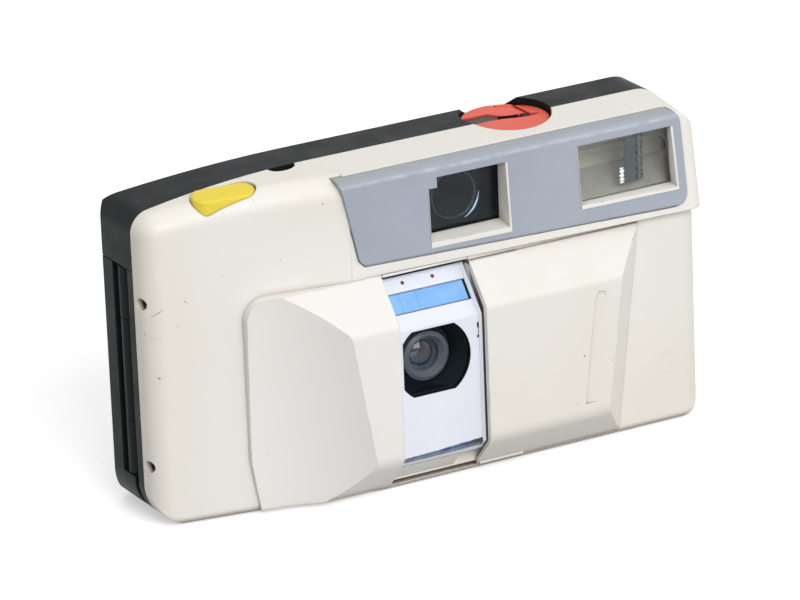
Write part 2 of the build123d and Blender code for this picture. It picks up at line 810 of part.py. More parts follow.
def cover_shell():
    """The right part of the hump as a shell open to the left, thinner at the foot."""
    outer = prism_x(hump_face(), COVER_LEFT, 60) & right_side()
    inner = prism_x(hump_face(COVER_WALL), COVER_LEFT - 1, 60)
    foot_room = prism_x(hump_face(COVER_FOOT_WALL), COVER_LEFT - 1, 60)
    inner += foot_room & block(0, 70, HUMP_Y + COVER_WALL, 0, -1, 20)
    shell = outer - (inner & right_side(COVER_WALL))
    return shell - block(0, 70, COVER_BACK, 0, -1, 80)


def finger_groove():
    """Groove that grows deeper towards the right."""
    shape = outline((31.4, 12.3), (35.8, 12.3), (37.6, 35.4), (36.9, 37.4), (35.4, 37.6), (34.6, 36.0))
    floor = behind((33.0, HUMP_Y + 0.75, 25.0), (0.24, 1, -0.028))
    return prism_y(shape, -23, -19) & floor


def lens_cover():
    """Cover with the tongues that hook behind the front cover above and below."""
    low, high = LOW_TONGUE_Z
    cover = cover_shell()
    cover += block(*TONGUE_X, -14.4, -10.3, low, high)
    cover += block(*TONGUE_X, -10.9, -10.3, low, 4.0)
    low, high = HIGH_TONGUE_Z
    cover += block(*TONGUE_X, -14.2, -10.1, low, high)
    cover += block(*TONGUE_X, -10.8, -10.1, 45.6, high)
    return cover - finger_groove()


def cover_rail():
    """Black rail inside the front cover that keeps the upper hook in its slot."""
    right = TONGUE_X[1] + 2 * TONGUE_PLAY
    rail = block(-19, right, -9.85, -9.2, 43.5, 50.8)
    return rail + block(-19, -15.2, -11.6, -9.85, 43.5, 44.7)


# Black chassis

def chassis_shell():
    """Rim, base tray and deck."""
    frame = back_shell() & block(-70, 70, GAP, RIM_Y, 0, DECK_TOP)
    frame -= block(-70, -HALF_W + 3.6, LEFT_RIM_Y, 10, TRAY_TOP, 60)
    frame += back_form(0, GAP) & block(-70, 70, GAP, 20, 0, TRAY_TOP)
    inner = HALF_W - WALL
    frame += block(-inner, inner, GAP, LEFT_RIM_Y, DECK_LOW, DECK_TOP)
    return frame + inside_door(block(-HALF_W + 4.7, HALF_W - 2.2, GAP, ROOM_REAR, DECK_LOW, DECK_TOP))


def takeup_room():
    """Half-round wall in front of the take-up spool, with straight sides."""
    room = ring_z(SPOOL_X, SPOOL_Y, SPOOL_ROOM_R, ROOM_WALL, 2.2, DECK_TOP)
    room += rod_z(SPOOL_X, SPOOL_Y, SPOOL_ROOM_R + 0.5, 2.2, TRAY_TOP)
    room += rod_z(SPOOL_X, SPOOL_Y, SPOOL_ROOM_R + 0.5, DECK_LOW, DECK_TOP)
    room &= block(-70, 0, -10, SPOOL_Y, 0, 60)
    left = SPOOL_X - SPOOL_ROOM_R
    right = SPOOL_X + SPOOL_ROOM_R
    room += block(left - ROOM_WALL, left, SPOOL_Y, ROOM_REAR, TRAY_TOP, DECK_LOW)
    room += block(right, right + ROOM_WALL, SPOOL_Y, GATE_Y[1], TRAY_TOP, DECK_LOW)
    return inside_door(room) + rod_z(SPOOL_X, SPOOL_Y, 1.5, 2.5, 6.4)


def cartridge_room():
    """Half-round wall in front of the cartridge, its roof let down under the flash."""
    x, y = CARTRIDGE_X, CARTRIDGE_Y
    room = ring_z(x, y, CARTRIDGE_R, ROOM_WALL, 2.8, ROOF_TOP)
    room += rod_z(x, y, CARTRIDGE_R + 0.5, 2.8, 4.0)
    room += rod_z(x, y, CARTRIDGE_R + 0.5, ROOF_TOP - ROOF_T, ROOF_TOP)
    room &= block(0, 60, -12, y, 0, 60)
    left = x - CARTRIDGE_R
    room += block(left - ROOM_WALL, left, y, GATE_Y[1], TRAY_TOP, DECK_LOW)
    return room + block(x + CARTRIDGE_R, BAY_LEFT, y, ROOM_REAR, TRAY_TOP, DECK_LOW)


def battery_room():
    """Walls and roof round the two cells."""
    room = block(BAY_LEFT - ROOF_T, BAY_LEFT, BAY_FRONT, ROOM_REAR, 2.8, ROOF_TOP)
    room += block(BAY_LEFT - ROOF_T, HALF_W - 2.0, BAY_FRONT, GAP, ROOF_TOP - ROOF_T, ROOF_TOP)
    bay = block(BAY_LEFT, HALF_W - 2.2, RIM_Y - 0.5, ROOM_REAR, TRAY_TOP, DECK_LOW)
    hollow = block(BAY_LEFT, HALF_W - 2.55, 0, BAY_REAR, 0, 60)
    return room + (inside_door(bay) - inside_door(hollow, 1.0))


def light_box(grow):
    """Tapering box between the film gate and the shutter."""
    rear = Pos(LENS_X, LENS_Z) * Rectangle(GATE_W + 2 * grow, GATE_H + 2 * grow)
    front = Pos(LENS_X, LENS_Z) * Rectangle(14 + 2 * grow, 12 + 2 * grow)
    return loft([front_plane(GATE_Y[0]) * rear, front_plane(-3.5) * front], ruled=True)


def film_gate():
    """Gate wall with its rails, light box and the window for the sprocket."""
    left = SPOOL_X + SPOOL_ROOM_R
    gate = block(left, CARTRIDGE_X - CARTRIDGE_R - 0.4, *GATE_Y, TRAY_TOP, DECK_LOW)
    for z in (LENS_Z - 18.2, LENS_Z + 17.0):
        gate += block(left + 1, 13.0, GATE_Y[1], FILM_Y + 0.2, z, z + 1.2)
    for z in (LENS_Z - 13.4, LENS_Z + 12.5):
        gate += block(LENS_X - 20, LENS_X + 18.5, GATE_Y[1], FILM_Y, z, z + 0.9)
    gate += light_box(1.2)
    gate -= light_box(0)
    half_w, half_h = GATE_W / 2, GATE_H / 2
    gate -= block(LENS_X - half_w, LENS_X + half_w, 12, 15, LENS_Z - half_h, LENS_Z + half_h)
    return gate - block(-36.9, -23.7, 12, 16, 11.5, 48.3)


def cut_bearings(frame):
    """Holes for the shafts and the room over the battery hatch."""
    frame -= rod_z(CARTRIDGE_X, CARTRIDGE_Y, 5.2, 2.0, 5)
    frame -= rod_z(SPOOL_X, SPOOL_Y, 2.75, 50, 60)
    frame -= rod_z(CARTRIDGE_X, CARTRIDGE_Y, SHAFT_R + 0.07, 50, 60)
    frame -= rod_z(*COUNTER_AXIS, 1.3, 50, 60)
    frame -= rod_z(SPROCKET_X, SPROCKET_Y, 1.35, 50, 60)
    frame -= rod_z(SPROCKET_X, SPROCKET_Y, 2.3, -1, 5)
    frame -= rod_z(SPROCKET_X, SPROCKET_Y, 3.2, 1.9, 5)
    for x, y in CELLS:
        frame -= rod_z(x, y, CELL_R + 0.1, 1, 4)
    return frame - block(HATCH_X, 70, -20, HATCH_Y[1], -1, HATCH_TOP)


def add_frame_knuckle(frame):
    low, high = FRAME_KNUCKLE_Z
    frame += rod_z(HINGE_X, HINGE_Y, KNUCKLE_R, low, high)
    frame += block(HINGE_X - 1.2, HINGE_X + 1.0, GAP, HINGE_Y, low, high)
    return frame - rod_z(HINGE_X, HINGE_Y, PIN_R + PIN_PLAY, 0, 60)


def span(side, inner, outer):
    """X range on one side, measured inwards from the side wall's outer face."""
    return sorted((side * (HALF_W - outer), side * (HALF_W - inner)))


def add_screw_bosses(frame):
    room = front_form(WALL + GAP) + block(-HALF_W + 2.7, HALF_W - 2.7, -0.1, 5, 5, 60)
    middle = block(-58, 58, -30, 30, 0, 80)
    for side in (-1, 1):
        for y, z in SCREWS:
            boss = block(*span(side, 3.1, 6.7), y - 1.8, GAP + 1, z - 2, z + 2) & room
            web = block(*span(side, WALL, 4.7), GAP, GAP + 1.6, z - 2, z + 2)
            frame += boss + web
            frame -= rod_x(y, z, SCREW_R + 0.05, -HALF_W + 1.7, HALF_W - 1.7) - middle
    return frame


def add_latch_seat(frame):
    """Recess in the right rim with the catch that the latch hooks behind."""
    low, high = LATCH_Z
    frame += block(HALF_W - 2.8, HALF_W - 0.7, 0.8, RIM_Y, low - 4.4, high + 1.2)
    frame -= block(HALF_W - 1.2, 70, 1.4, RIM_Y + 1, low - 3.6, high + 0.3)
    return frame + block(HALF_W - 1.3, HALF_W - 0.3, 3.1, RIM_Y, low + 3.2, low + 5.0)


def mid_frame():
    frame = chassis_shell() + takeup_room() + cartridge_room() + battery_room() + film_gate()
    frame = cut_bearings(frame)
    frame = add_frame_knuckle(frame)
    frame = add_screw_bosses(frame)
    return add_latch_seat(frame)


def rear_top_cover():
    """Black top half with the dial cup, eyepiece and wheel openings and the strap recess."""
    x, y = CARTRIDGE_X, CARTRIDGE_Y
    top = back_shell() & block(-70, 70, GAP, 20, DECK_TOP + GAP, 80)
    top += ring_z(x, y, DIAL_WELL_R, CUP_WALL, CUP_LOW, 80) & back_form(0, GAP)
    top += ring_z(x, y, DIAL_WELL_R, CUP_WALL, CUP_LOW, 70.5)
    top += rod_z(x, y, DIAL_WELL_R + CUP_WALL, CUP_LOW, CUP_FLOOR)
    top -= rod_z(x, y, DIAL_WELL_R, CUP_FLOOR, 80)
    top -= rod_z(x, y, SHAFT_R + 0.07, 60, 80)
    top += block(2.0, 13.4, 16.2, 18.0, 58.7, 65.9)
    top -= block(2.75, 12.65, 15, 20, 59.35, 65.25)
    top -= rod_z(SPOOL_X, SPOOL_Y, WHEEL_R + 0.35, WHEEL_Z[0] - 0.3, WHEEL_Z[1] + 0.3)
    top -= rod_y(LAMP_X, LAMP_Z, LAMP_R + 0.05, 15, 20)
    low, high = STRAP_Z
    top += block(HALF_W - 5.1, HALF_W - 0.7, STRAP_Y - 4, STRAP_Y + 4, low - 1, high + 1)
    return top - block(HALF_W - 3.5, 70, STRAP_Y - 3, STRAP_Y + 3, low, high)


def strap_bar():
    return rod_z(HALF_W - 1.4, STRAP_Y, STRAP_R, *STRAP_Z)


def ready_lamp():
    return rod_y(LAMP_X, LAMP_Z, LAMP_R, 17.0, 19.3) + rod_y(LAMP_X, LAMP_Z, LAMP_R + 0.6, 16.6, 17.65)


# Frame counter and film transport

def counter_dial():
    """Numbered disc over a small toothed wheel on one shaft."""
    dial = rod_z(*COUNTER_AXIS, 6.4, 69.7, 70.4)
    dial += rod_z(*COUNTER_AXIS, 1.2, 55.9, 69.7)
    dial += rod_z(*COUNTER_AXIS, 5.4, 58.9, 60.5)
    notch = block(5.0, 5.6, -0.27, 0.27, 58, 61)
    for cut in turned_copies(*COUNTER_AXIS, COUNTER_TEETH, notch):
        dial -= cut
    return dial


def takeup_spool():
    """Slotted core with two flanges, bored for its pin and for the wheel's shaft."""
    x, y = SPOOL_X, SPOOL_Y
    spool = rod_z(x, y, SPOOL_CORE_R, 4.6, 54.6) + rod_z(x, y, 2.6, 54.6, 57.0)
    spool -= rod_z(x, y, 1.6, 4, 6.7)
    spool -= rod_z(x, y, 1.4, 50, 58)
    slot = block(3.0, 8.0, -0.9, 0.9, LENS_Z - 16, LENS_Z + 16)
    for i in range(3):
        spool -= Pos(x, y, 0) * Rot(0, 0, 20 + 120 * i) * slot
    for z in (7.5, 50.8):
        spool += ring_z(x, y, SPOOL_CORE_R - 0.5, 1.3, z, z + 0.8)
    return spool


def advance_wheel():
    """Thumb wheel with a grooved edge, driving the spool from above."""
    x, y = SPOOL_X, SPOOL_Y
    wheel = rod_z(x, y, WHEEL_R, *WHEEL_Z)
    groove = rod_z(WHEEL_R + 0.25, 0, 0.6, WHEEL_Z[0] - 0.5, WHEEL_Z[1] + 0.5)
    for cut in turned_copies(x, y, WHEEL_GROOVES, groove):
        wheel -= cut
    return wheel + rod_z(x, y, 4.0, 57.35, WHEEL_Z[0]) + rod_z(x, y, 1.3, 51, 57.5)


def sprocket_tooth(z):
    root = Plane.YZ.offset(SPROCKET_R - 0.3) * Rectangle(1.5, 2.0)
    tip = Plane.YZ.offset(SPROCKET_R + 0.9) * Rectangle(0.7, 1.4)
    return Pos(0, 0, z) * loft([root, tip], ruled=True)


def sprocket_shaft():
    """Shaft with two toothed drums and the finger that moves the counter on."""
    x, y = SPROCKET_X, SPROCKET_Y
    shaft = rod_z(x, y, 2.0, 5.0, 55.4) + rod_z(x, y, 1.2, 55.4, 60.4)
    for z in (LENS_Z - PERFORATION_ROW, LENS_Z + PERFORATION_ROW):
        shaft += rod_z(x, y, SPROCKET_R, z - 2.6, z + 2.6)
        for tooth in turned_copies(x, y, SPROCKET_TEETH, sprocket_tooth(z)):
            shaft += tooth
    shaft -= rod_z(x, y, 1.1, 4, 9)
    toward = math.degrees(math.atan2(COUNTER_AXIS[1] - y, COUNTER_AXIS[0] - x))
    finger = Rot(0, 0, toward) * block(0, 1.8, -0.4, 0.4, 58.9, 60.4)
    return shaft + Pos(x, y, 0) * finger


def rewind_release_button():
    x, y = SPROCKET_X, SPROCKET_Y
    return rod_z(x, y, 2.22, 0.5, 2.0) + rod_z(x, y, 3.1, 2.0, 2.7) + rod_z(x, y, 1.04, 2.7, 7.2)


# Shutter button

def button_plan(grow=0.0, shift=0.0):
    """Plan of the round-ended shutter button, turned a little with the slanting front."""
    bar = SlotOverall(BUTTON_L + grow, BUTTON_W + grow)
    return Pos(BUTTON_X, BUTTON_Y + shift) * Rot(0, 0, BUTTON_TURN) * bar


def shutter_button():
    """Button with its top tilted towards the front and a collar below."""
    cap = prism_z(button_plan(), 65.5, 75)
    cap &= behind((BUTTON_X, BUTTON_Y, BUTTON_TOP), (0, -math.tan(math.radians(BUTTON_TILT)), 1))
    cap = fillet(cap.faces().sort_by(Axis.Z)[-1].edges(), 0.7)
    return cap + prism_z(button_plan(0.6, 0.7), 65.5, 66.3)


# Rewind dial

def rewind_shaft():
    """Disc under the dial on a shaft that forks into the cartridge."""
    x, y = CARTRIDGE_X, CARTRIDGE_Y
    shaft = rod_z(x, y, DIAL_R - 0.1, CUP_FLOOR + 0.3, DIAL_LOW) + rod_z(x, y, SHAFT_R, 51.6, CUP_FLOOR + 0.4)
    for side in (-1, 1):
        x0, x1 = sorted((x + side * 0.9, x + side * 3))
        shaft -= block(x0, x1, y - 3, y + 3, 50, 55.5)
    return shaft


def rewind_knob():
    """Red part of the dial: front half and a flank that wraps round the crank's hinge."""
    x, y = CARTRIDGE_X, CARTRIDGE_Y
    plan = block(x - 12, x + 12, y - 12, y + 0.3, 0, FAR) + block(x + 7.2, x + 12, y - 12, y + 12, 0, FAR)
    knob = rod_z(x, y, DIAL_R, DIAL_LOW, DIAL_TOP) & plan
    knob -= rod_y(CRANK_PIN_X, CRANK_PIN_Z, CRANK_PIN_R, y - 2.2, y + 5)
    top_edges = knob.edges().filter_by(lambda e: e.center().Z > DIAL_TOP - 0.05)
    return fillet(top_edges, 0.45)


def rewind_crank():
    """Folding half of the dial, hinged beside the red flank."""
    x, y = CARTRIDGE_X, CARTRIDGE_Y
    low = CRANK_PIN_Z - CRANK_BARREL_R
    pin = CRANK_PIN_X - x
    plan = outline(
        (-12, 2.6),
        (-1.5, 2.6),
        (0.4, 0.9),
        (pin, 0.9),
        (pin, 6.2),
        (1.0, 9.9),
        (1.0, 12),
        (-12, 12),
    )
    crank = prism_z(Pos(x, y) * plan, low, DIAL_TOP) & rod_z(x, y, DIAL_R, low, DIAL_TOP)
    crank += rod_y(CRANK_PIN_X, CRANK_PIN_Z, CRANK_BARREL_R, y + 0.9, y + 4.9)
    return crank - rod_y(CRANK_PIN_X, CRANK_PIN_Z, CRANK_PIN_R + 0.05, 0, y + 6.3)


def crank_pin():
    y = CARTRIDGE_Y
    return rod_y(CRANK_PIN_X, CRANK_PIN_Z, CRANK_PIN_R, y - 2.2, y + 4.8)


# Film door

def back_door():
    """Door with its knuckles, film window, guide ribs and latch recess."""
    door = (back_form(0, DOOR_Y) - back_form(WALL, -1)) & block(-70, 70, DOOR_Y, 20, DOOR_LOW, DOOR_TOP)
    door -= block(-70, -HALF_W + 3.6, 0, 9.4, HINGE_Z[0] - 0.3, 60)
    for low, high in DOOR_KNUCKLE_Z:
        door += rod_z(HINGE_X, HINGE_Y, KNUCKLE_R, low, high)
        door += block(-HALF_W + 1.2, -HALF_W + 2.8, HINGE_Y, 10.6, low, high)
    door -= rod_z(HINGE_X, HINGE_Y, PIN_R + PIN_PLAY, 0, 60)
    x0, x1 = FILM_WINDOW_X
    z0, z1 = FILM_WINDOW_Z
    door -= block(x0 + 0.9, x1 - 0.9, 15, 20, z0 + 0.9, z1 - 0.9)
    door -= block(x0 - 0.1, x1 + 0.1, 18.6, 20, z0 - 0.1, z1 + 0.1)
    for x in (PLATE_X[0] - 1.7, PLATE_X[1] + 0.4):
        door += block(x, x + 1.3, 16.2, 18, 12.5, 47.3)
    low, high = LATCH_Z
    door -= block(HALF_W - 1.1, 70, 4, 12.3, low - 3.6, high + 0.3)
    return door + block(HALF_W - 1.9, HALF_W - 1.1, DOOR_Y, 12.8, low - 4, high + 0.8)


def hinge_pin():
    return rod_z(HINGE_X, HINGE_Y, PIN_R, 10.0, 56.6)


def film_window():
    return block(*FILM_WINDOW_X, 18.65, 19.4, *FILM_WINDOW_Z)


def pressure_plate():
    plate = block(*PLATE_X, 14.95, 15.9, *PLATE_Z)
    return fillet(plate.edges().filter_by(Axis.Y), 1.5)


def pressure_spring():
    """Leaf spring whose two arms push the plate off the door."""
    spring = block(*SPRING_X, 15.9, 16.2, 20, 40)
    for root, bent, tip in ((22, 15.5, 15.2), (38, 44.5, 44.8)):
        arm = outline((15.9, root), (16.2, root), (17.15, bent), (16.85, tip))
        spring += prism_x(arm, *SPRING_X)
    return spring


def cartridge_spring():
    """Bent strip in the door that holds the cartridge."""
    strip = outline(
        (17.7, 46),
        (17.4, 46),
        (16.3, 49.2),
        (16.3, 50.8),
        (17.4, 54),
        (17.7, 54),
        (16.6, 50.8),
        (16.6, 49.2),
    )
    return prism_x(strip, 22.5, 32.0)


def door_latch():
    """Sliding latch with finger ribs and a hook round the catch."""
    low, high = LATCH_Z
    inner, outer = HALF_W - 1.0, HALF_W - 0.2
    latch = block(inner, outer, 2.0, 11.8, low, high)
    latch -= block(inner - 1, outer + 1, 3.0, 5.0, low + 3.1, high + 1)
    latch -= block(inner - 1, outer + 1, 0, 3.1, low + 3.15, high + 1)
    for i in range(4):
        z = low + 1.0 + 1.8 * i
        latch -= block(outer - 0.25, outer + 1, 6.0, 11.0, z, z + 0.7)
    return latch


# Batteries

def battery_door():
    """Hatch in the base with a guide lip, side edge and finger grooves."""
    form = front_form() + back_form()
    y0, y1 = HATCH_Y[0] + GAP, HATCH_Y[1] - GAP
    hatch = block(HATCH_X + GAP, 70, y0, y1, 0.2, 1.65) & form
    hatch += block(HALF_W - 4.2, 70, y0, y1, 0.2, 2.6) & form
    hatch += block(HATCH_X + GAP, 60, HATCH_Y[0] - 0.65, HATCH_Y[0] + 0.2, 1.1, 1.65)
    for i in range(5):
        x = 50 + 1.6 * i
        hatch -= block(x, x + 0.8, -4, 8, 0, 0.6)
    return hatch


def battery_contact_strip():
    """Angled strip that joins both cells at their lower ends."""
    return block(46.0, 54.0, -8, 13.5, 1.65, 2.0) + block(52.0, 59.0, 5.5, 13.5, 1.65, 2.0)


def battery_cells():
    low, high = CELL_Z
    cells = []
    for x, y in CELLS:
        cells.append(rod_z(x, y, CELL_R, low, high - 1.2) + rod_z(x, y, 2.7, high - 1.2, high))
    return Compound(children=cells)


def battery_terminals():
    high = CELL_Z[1]
    plates = [block(x - 4, x + 4, y - 4, y + 4, high + 0.1, high + 0.5) for x, y in CELLS]
    return Compound(children=plates)


def case_screws():
    """Four cross-head screws through the side walls into the chassis."""
    recess = block(-70, 70, -20, 20, 0, 80) - block(-HALF_W + 2.0, HALF_W - 2.0, -20, 20, 0, 80)
    outer, inner = SCREW_HEAD_DEPTH
    screws = []
    for side in (-1, 1):
        for y, z in SCREWS:
            head = rod_x(y, z, SCREW_HEAD_R, *span(side, outer, inner))
            cross = block(-70, 70, y - 0.22, y + 0.22, z - 0.8, z + 0.8)
            cross += block(-70, 70, y - 0.8, y + 0.8, z - 0.22, z + 0.22)
            shank = rod_x(y, z, SCREW_R, *span(side, inner - 0.05, 6.2))
            screws.append((head - (cross & recess)) + shank)
    return Compound(children=screws)


parts = {
    "front_cover": front_cover(),
    "fascia_panel": fascia_panel(),
    "viewfinder_window": viewfinder_window(),
    "flash_window": flash_slab(0.02, 1.0, 0.8),
    "viewfinder_tube": finder_hull(0.7) - finder_hull(0.0),
    "viewfinder_eyepiece": viewfinder_eyepiece(),
    "flash_reflector": flash_reflector(),
    "flash_tube": rod_x(FLASH_TUBE_Y, FLASH_TUBE_Z, FLASH_TUBE_R, 33.6, 62.2),
    "flash_contact": flash_contact(),
    "flash_capacitor": rod_z(-24, -8.2, 5.3, 8, 38) + rod_z(-24, -8.2, 4.6, 38, 38.8),
    "circuit_board": circuit_board(),
    "lens_panel": lens_panel(),
    "blue_stripe": blue_stripe(),
    "lens_hood": lens_hood(),
    "lens_barrel": lens_barrel(),
    "front_lens": front_lens(),
    "rear_lens": rear_lens(),
    "shutter_housing": shutter_housing(),
    "shutter_blade": shutter_blade(),
    "shutter_cover": shutter_cover(),
    "lens_cover": lens_cover(),
    "cover_rail": cover_rail(),
    "mid_frame": mid_frame(),
    "rear_top_cover": rear_top_cover(),
    "strap_bar": strap_bar(),
    "ready_lamp": ready_lamp(),
    "counter_window": block(-33.6, -26.0, -2.7, 3.0, 70.85, 71.3),
    "counter_dial": counter_dial(),
    "takeup_spool": takeup_spool(),
    "advance_wheel": advance_wheel(),
    "sprocket_shaft": sprocket_shaft(),
    "rewind_release_button": rewind_release_button(),
    "shutter_button": shutter_button(),
    "rewind_washer": ring_z(CARTRIDGE_X, CARTRIDGE_Y, 2.75, 3.25, CUP_FLOOR + 0.03, CUP_FLOOR + 0.27),
    "rewind_shaft": rewind_shaft(),
    "rewind_knob": rewind_knob(),
    "rewind_crank": rewind_crank(),
    "crank_pin": crank_pin(),
    "back_door": back_door(),
    "hinge_pin": hinge_pin(),
    "film_window": film_window(),
    "pressure_plate": pressure_plate(),
    "pressure_spring": pressure_spring(),
    "cartridge_spring": cartridge_spring(),
    "door_latch": door_latch(),
    "battery_door": battery_door(),
    "battery_contact_strip": battery_contact_strip(),
    "battery_cells": battery_cells(),
    "battery_terminals": battery_terminals(),
    "case_screws": case_screws(),
}

for name, shape in parts.items():
    export_step(shape, f"parts/{name}.step")
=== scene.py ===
import bmesh
import bpy
import json
import math
from mathutils import Matrix, Vector


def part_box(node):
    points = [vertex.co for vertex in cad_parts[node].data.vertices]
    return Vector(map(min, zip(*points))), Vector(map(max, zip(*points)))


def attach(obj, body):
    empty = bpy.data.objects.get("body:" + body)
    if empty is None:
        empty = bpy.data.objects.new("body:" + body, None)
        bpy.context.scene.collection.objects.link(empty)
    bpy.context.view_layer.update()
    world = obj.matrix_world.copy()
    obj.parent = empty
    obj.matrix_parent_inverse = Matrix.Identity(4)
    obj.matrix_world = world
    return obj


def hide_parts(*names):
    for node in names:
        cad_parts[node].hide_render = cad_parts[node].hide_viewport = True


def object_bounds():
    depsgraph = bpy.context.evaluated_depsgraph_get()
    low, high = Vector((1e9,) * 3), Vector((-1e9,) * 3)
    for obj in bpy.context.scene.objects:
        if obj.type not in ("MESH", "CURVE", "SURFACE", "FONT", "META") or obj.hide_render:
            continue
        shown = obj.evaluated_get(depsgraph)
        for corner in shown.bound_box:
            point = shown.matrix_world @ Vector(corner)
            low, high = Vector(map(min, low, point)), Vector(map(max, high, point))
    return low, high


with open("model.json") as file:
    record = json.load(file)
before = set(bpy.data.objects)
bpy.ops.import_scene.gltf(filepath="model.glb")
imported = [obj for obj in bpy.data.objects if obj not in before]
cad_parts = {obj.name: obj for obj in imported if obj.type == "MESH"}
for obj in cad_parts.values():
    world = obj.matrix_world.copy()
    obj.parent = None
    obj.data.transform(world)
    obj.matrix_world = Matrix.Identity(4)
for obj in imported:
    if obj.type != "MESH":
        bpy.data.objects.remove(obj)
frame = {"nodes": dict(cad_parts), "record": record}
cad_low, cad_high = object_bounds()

MM = 0.001

# Viewpoint of the photograph, in degrees and metres
CAMERA_AZIMUTH = -28.694
CAMERA_ELEVATION = 20.09
CAMERA_ROLL = -2.333
CAMERA_DISTANCE = 1.31144
CAMERA_ASIDE = -0.0014312
CAMERA_ABOVE = 0.0351317
CAMERA_SIDE_STEP = -0.00226
LENS_MM = 270.0
SENSOR_MM = 36.0
CLIP_NEAR, CLIP_FAR = 0.05, 20.0

# Lamps: place, size in metres, watts
LAMPS = {
    "key": ((-0.20, -1.70, 1.05), 1.1, 24.6),
    "fill": ((1.2, -1.0, 0.6), 0.9, 3.2),
    "top": ((-0.1, 0.15, 1.7), 1.2, 4.3),
}
LAMP_AIM = (0, 0, 0.035)
SKY_LIGHT, SKY_SEEN = 0.40, 1.0
FLOOR_REACH = 6.0
FLOOR_DROP = 0.00005
FLOOR_GLOW = 0.46

# Colours, linear
CREAM = (0.85, 0.825, 0.775)
CREAM_AGED_AND_SHADE = (0.80, 0.74, 0.62)
CREAM_LIT = (0.86, 0.85, 0.83)
CREAM_GRIME_AND_SHADE = (0.26, 0.19, 0.12)
CREAM_SCUFF = (0.42, 0.39, 0.34)
RUB_GREY = (0.24, 0.23, 0.25)
BLACK = (0.0085, 0.013, 0.0125)
BLACK_SHINE = 0.11
DOOR_WORN = (0.05, 0.055, 0.058)
PANEL_GREY = (0.37, 0.41, 0.48)
PANEL_BAND_SHADE = (0.33, 0.36, 0.38)
PANEL_HIGHLIGHT_AND_WEAR = (0.58, 0.63, 0.70)
PANEL_HOLLOW_SHADE = (0.12, 0.11, 0.11)
RED = (0.90, 0.125, 0.070)
DOT_RED = (0.20, 0.018, 0.035)
YELLOW = (0.88, 0.70, 0.075)
BLUE = (0.20, 0.46, 0.90)
BLUE_PALE = (0.30, 0.55, 0.93)
BLUE_RIM_SHADE_AND_LINE = (0.14, 0.24, 0.42)
BLUE_END_SHADE = (0.004, 0.007, 0.012)
NAVY = (0.025, 0.045, 0.17)
NAVY_WORN = (0.05, 0.16, 0.26)
INK_BLACK = (0.01, 0.012, 0.02)
WHITE = (0.83, 0.86, 0.94)
WHITE_HOLLOW_SHADE = (0.28, 0.29, 0.34)
OPENING_BLACK = (0.012, 0.015, 0.018)
DISC_WHITE = (0.78, 0.79, 0.80)
DISC_MARK = (0.02, 0.02, 0.022)
STEEL = (0.50, 0.50, 0.49)
LACQUER = (0.03, 0.16, 0.06)
TRACK_GREEN = (0.10, 0.32, 0.12)
SLEEVE = (0.035, 0.035, 0.04)
SLEEVE_WORN = (0.16, 0.16, 0.17)
BRASS = (0.55, 0.36, 0.14)

# Places that the materials colour, in metres in the shared frame
LEFT_END_SHADE_AND_AGE_X = (-0.054, -0.066)
LIT_X = (-0.050, -0.008)
LIT_BLUR = 0.006
LIT_Z = (0.067, 0.060)
RUB_X = (-0.0643, -0.0621)
RUB_LINE = (-0.0632, 0.0488)
RUB_SLOPE = 0.6
RUB_HALF = 0.00012
BEND_HIGHLIGHT_Z = (0.0702, 0.0709)
BAND_SHADE_Z = (0.0711, 0.0718)
LENS_X, LENS_Z = -0.0049, 0.0299
OPENING_R = (0.0098, 0.0096)
OPENING_Y = (-0.01885, -0.01870)
OPENING_TOP = (0.0078, 0.0077)
INK_X = (-0.013, 0.006)
INK_Y = (-0.0176, -0.0179)
INK_Z = (0.0074, 0.0093)
INK_THIN = 0.0004
INK_UNEVEN = 0.00012
INK_END_X = (0.0038, 0.0048)
STRIPE_LINES = (-0.0103, -0.0062)
STRIPE_LINE_HALF = 0.00006
STRIPE_END_SHADE_X = (0.00545, 0.00555)
COUNTER_X, COUNTER_Y = -0.0256, 0.003
COUNTER_MARKS = 36
MARK_R = (0.0050, 0.0061)
LONG_MARK_R = (0.0036, 0.0061)
DOOR_BACK_Y = (0.0165, 0.0175)
CELL_BAND = 0.013
CELL_CAP = 0.0016
CELL_BASE = 0.0006

# Index dots above the stripe, in millimetres
DOT_X = (-8.2, -0.8)
DOT_Y, DOT_Z = -12.16, 46.27
DOT_R, DOT_RISE = 0.44, 0.09

# Rewind dial, in millimetres; its outlines are measured from its axis, sweeps in degrees
DIAL_X, DIAL_Y = 27.3, 3.2
DIAL_R = 9.75
DIAL_LOW, DIAL_TOP = 70.02, 72.3
FRONT_SWEEP, CRANK_SWEEP, RECESS_SWEEP = (198, 437), (78, 149.2), (151, 184)
CRANK_LOW = 70.25
CRANK_FRONT = [(-0.4, 2.5), (0.8, 1.85), (2.0, 1.4), (3.9, 1.1)]
CRANK_TIP = [(-2.3, 4.95), (-1.5, 4.3)]
CRANK_END = [(5.0, 1.0), (5.0, 6.55), (3.6, 6.7), (2.05, 7.4)]
BESIDE_CRANK = [(2.25, 7.8), (3.9, 7.05), (6.32, 7.0), (6.32, 0.35)]
BESIDE_SLOT = [(7.8, -0.1), (7.8, -1.25), (5.3, -1.6), (2.5, -1.2), (-0.4, -0.15), (-3.9, 0.3)]
FRONT_TIP = [(-7.9, 0.2), (-9.0, -1.0)]
RECESS_R = 9.6
RECESS_TOP = 71.9
RECESS_EDGE = [(-7.9, 0.35), (-1.8, -0.2), (-0.8, 2.0), (-1.7, 4.1), (-2.4, 4.75)]
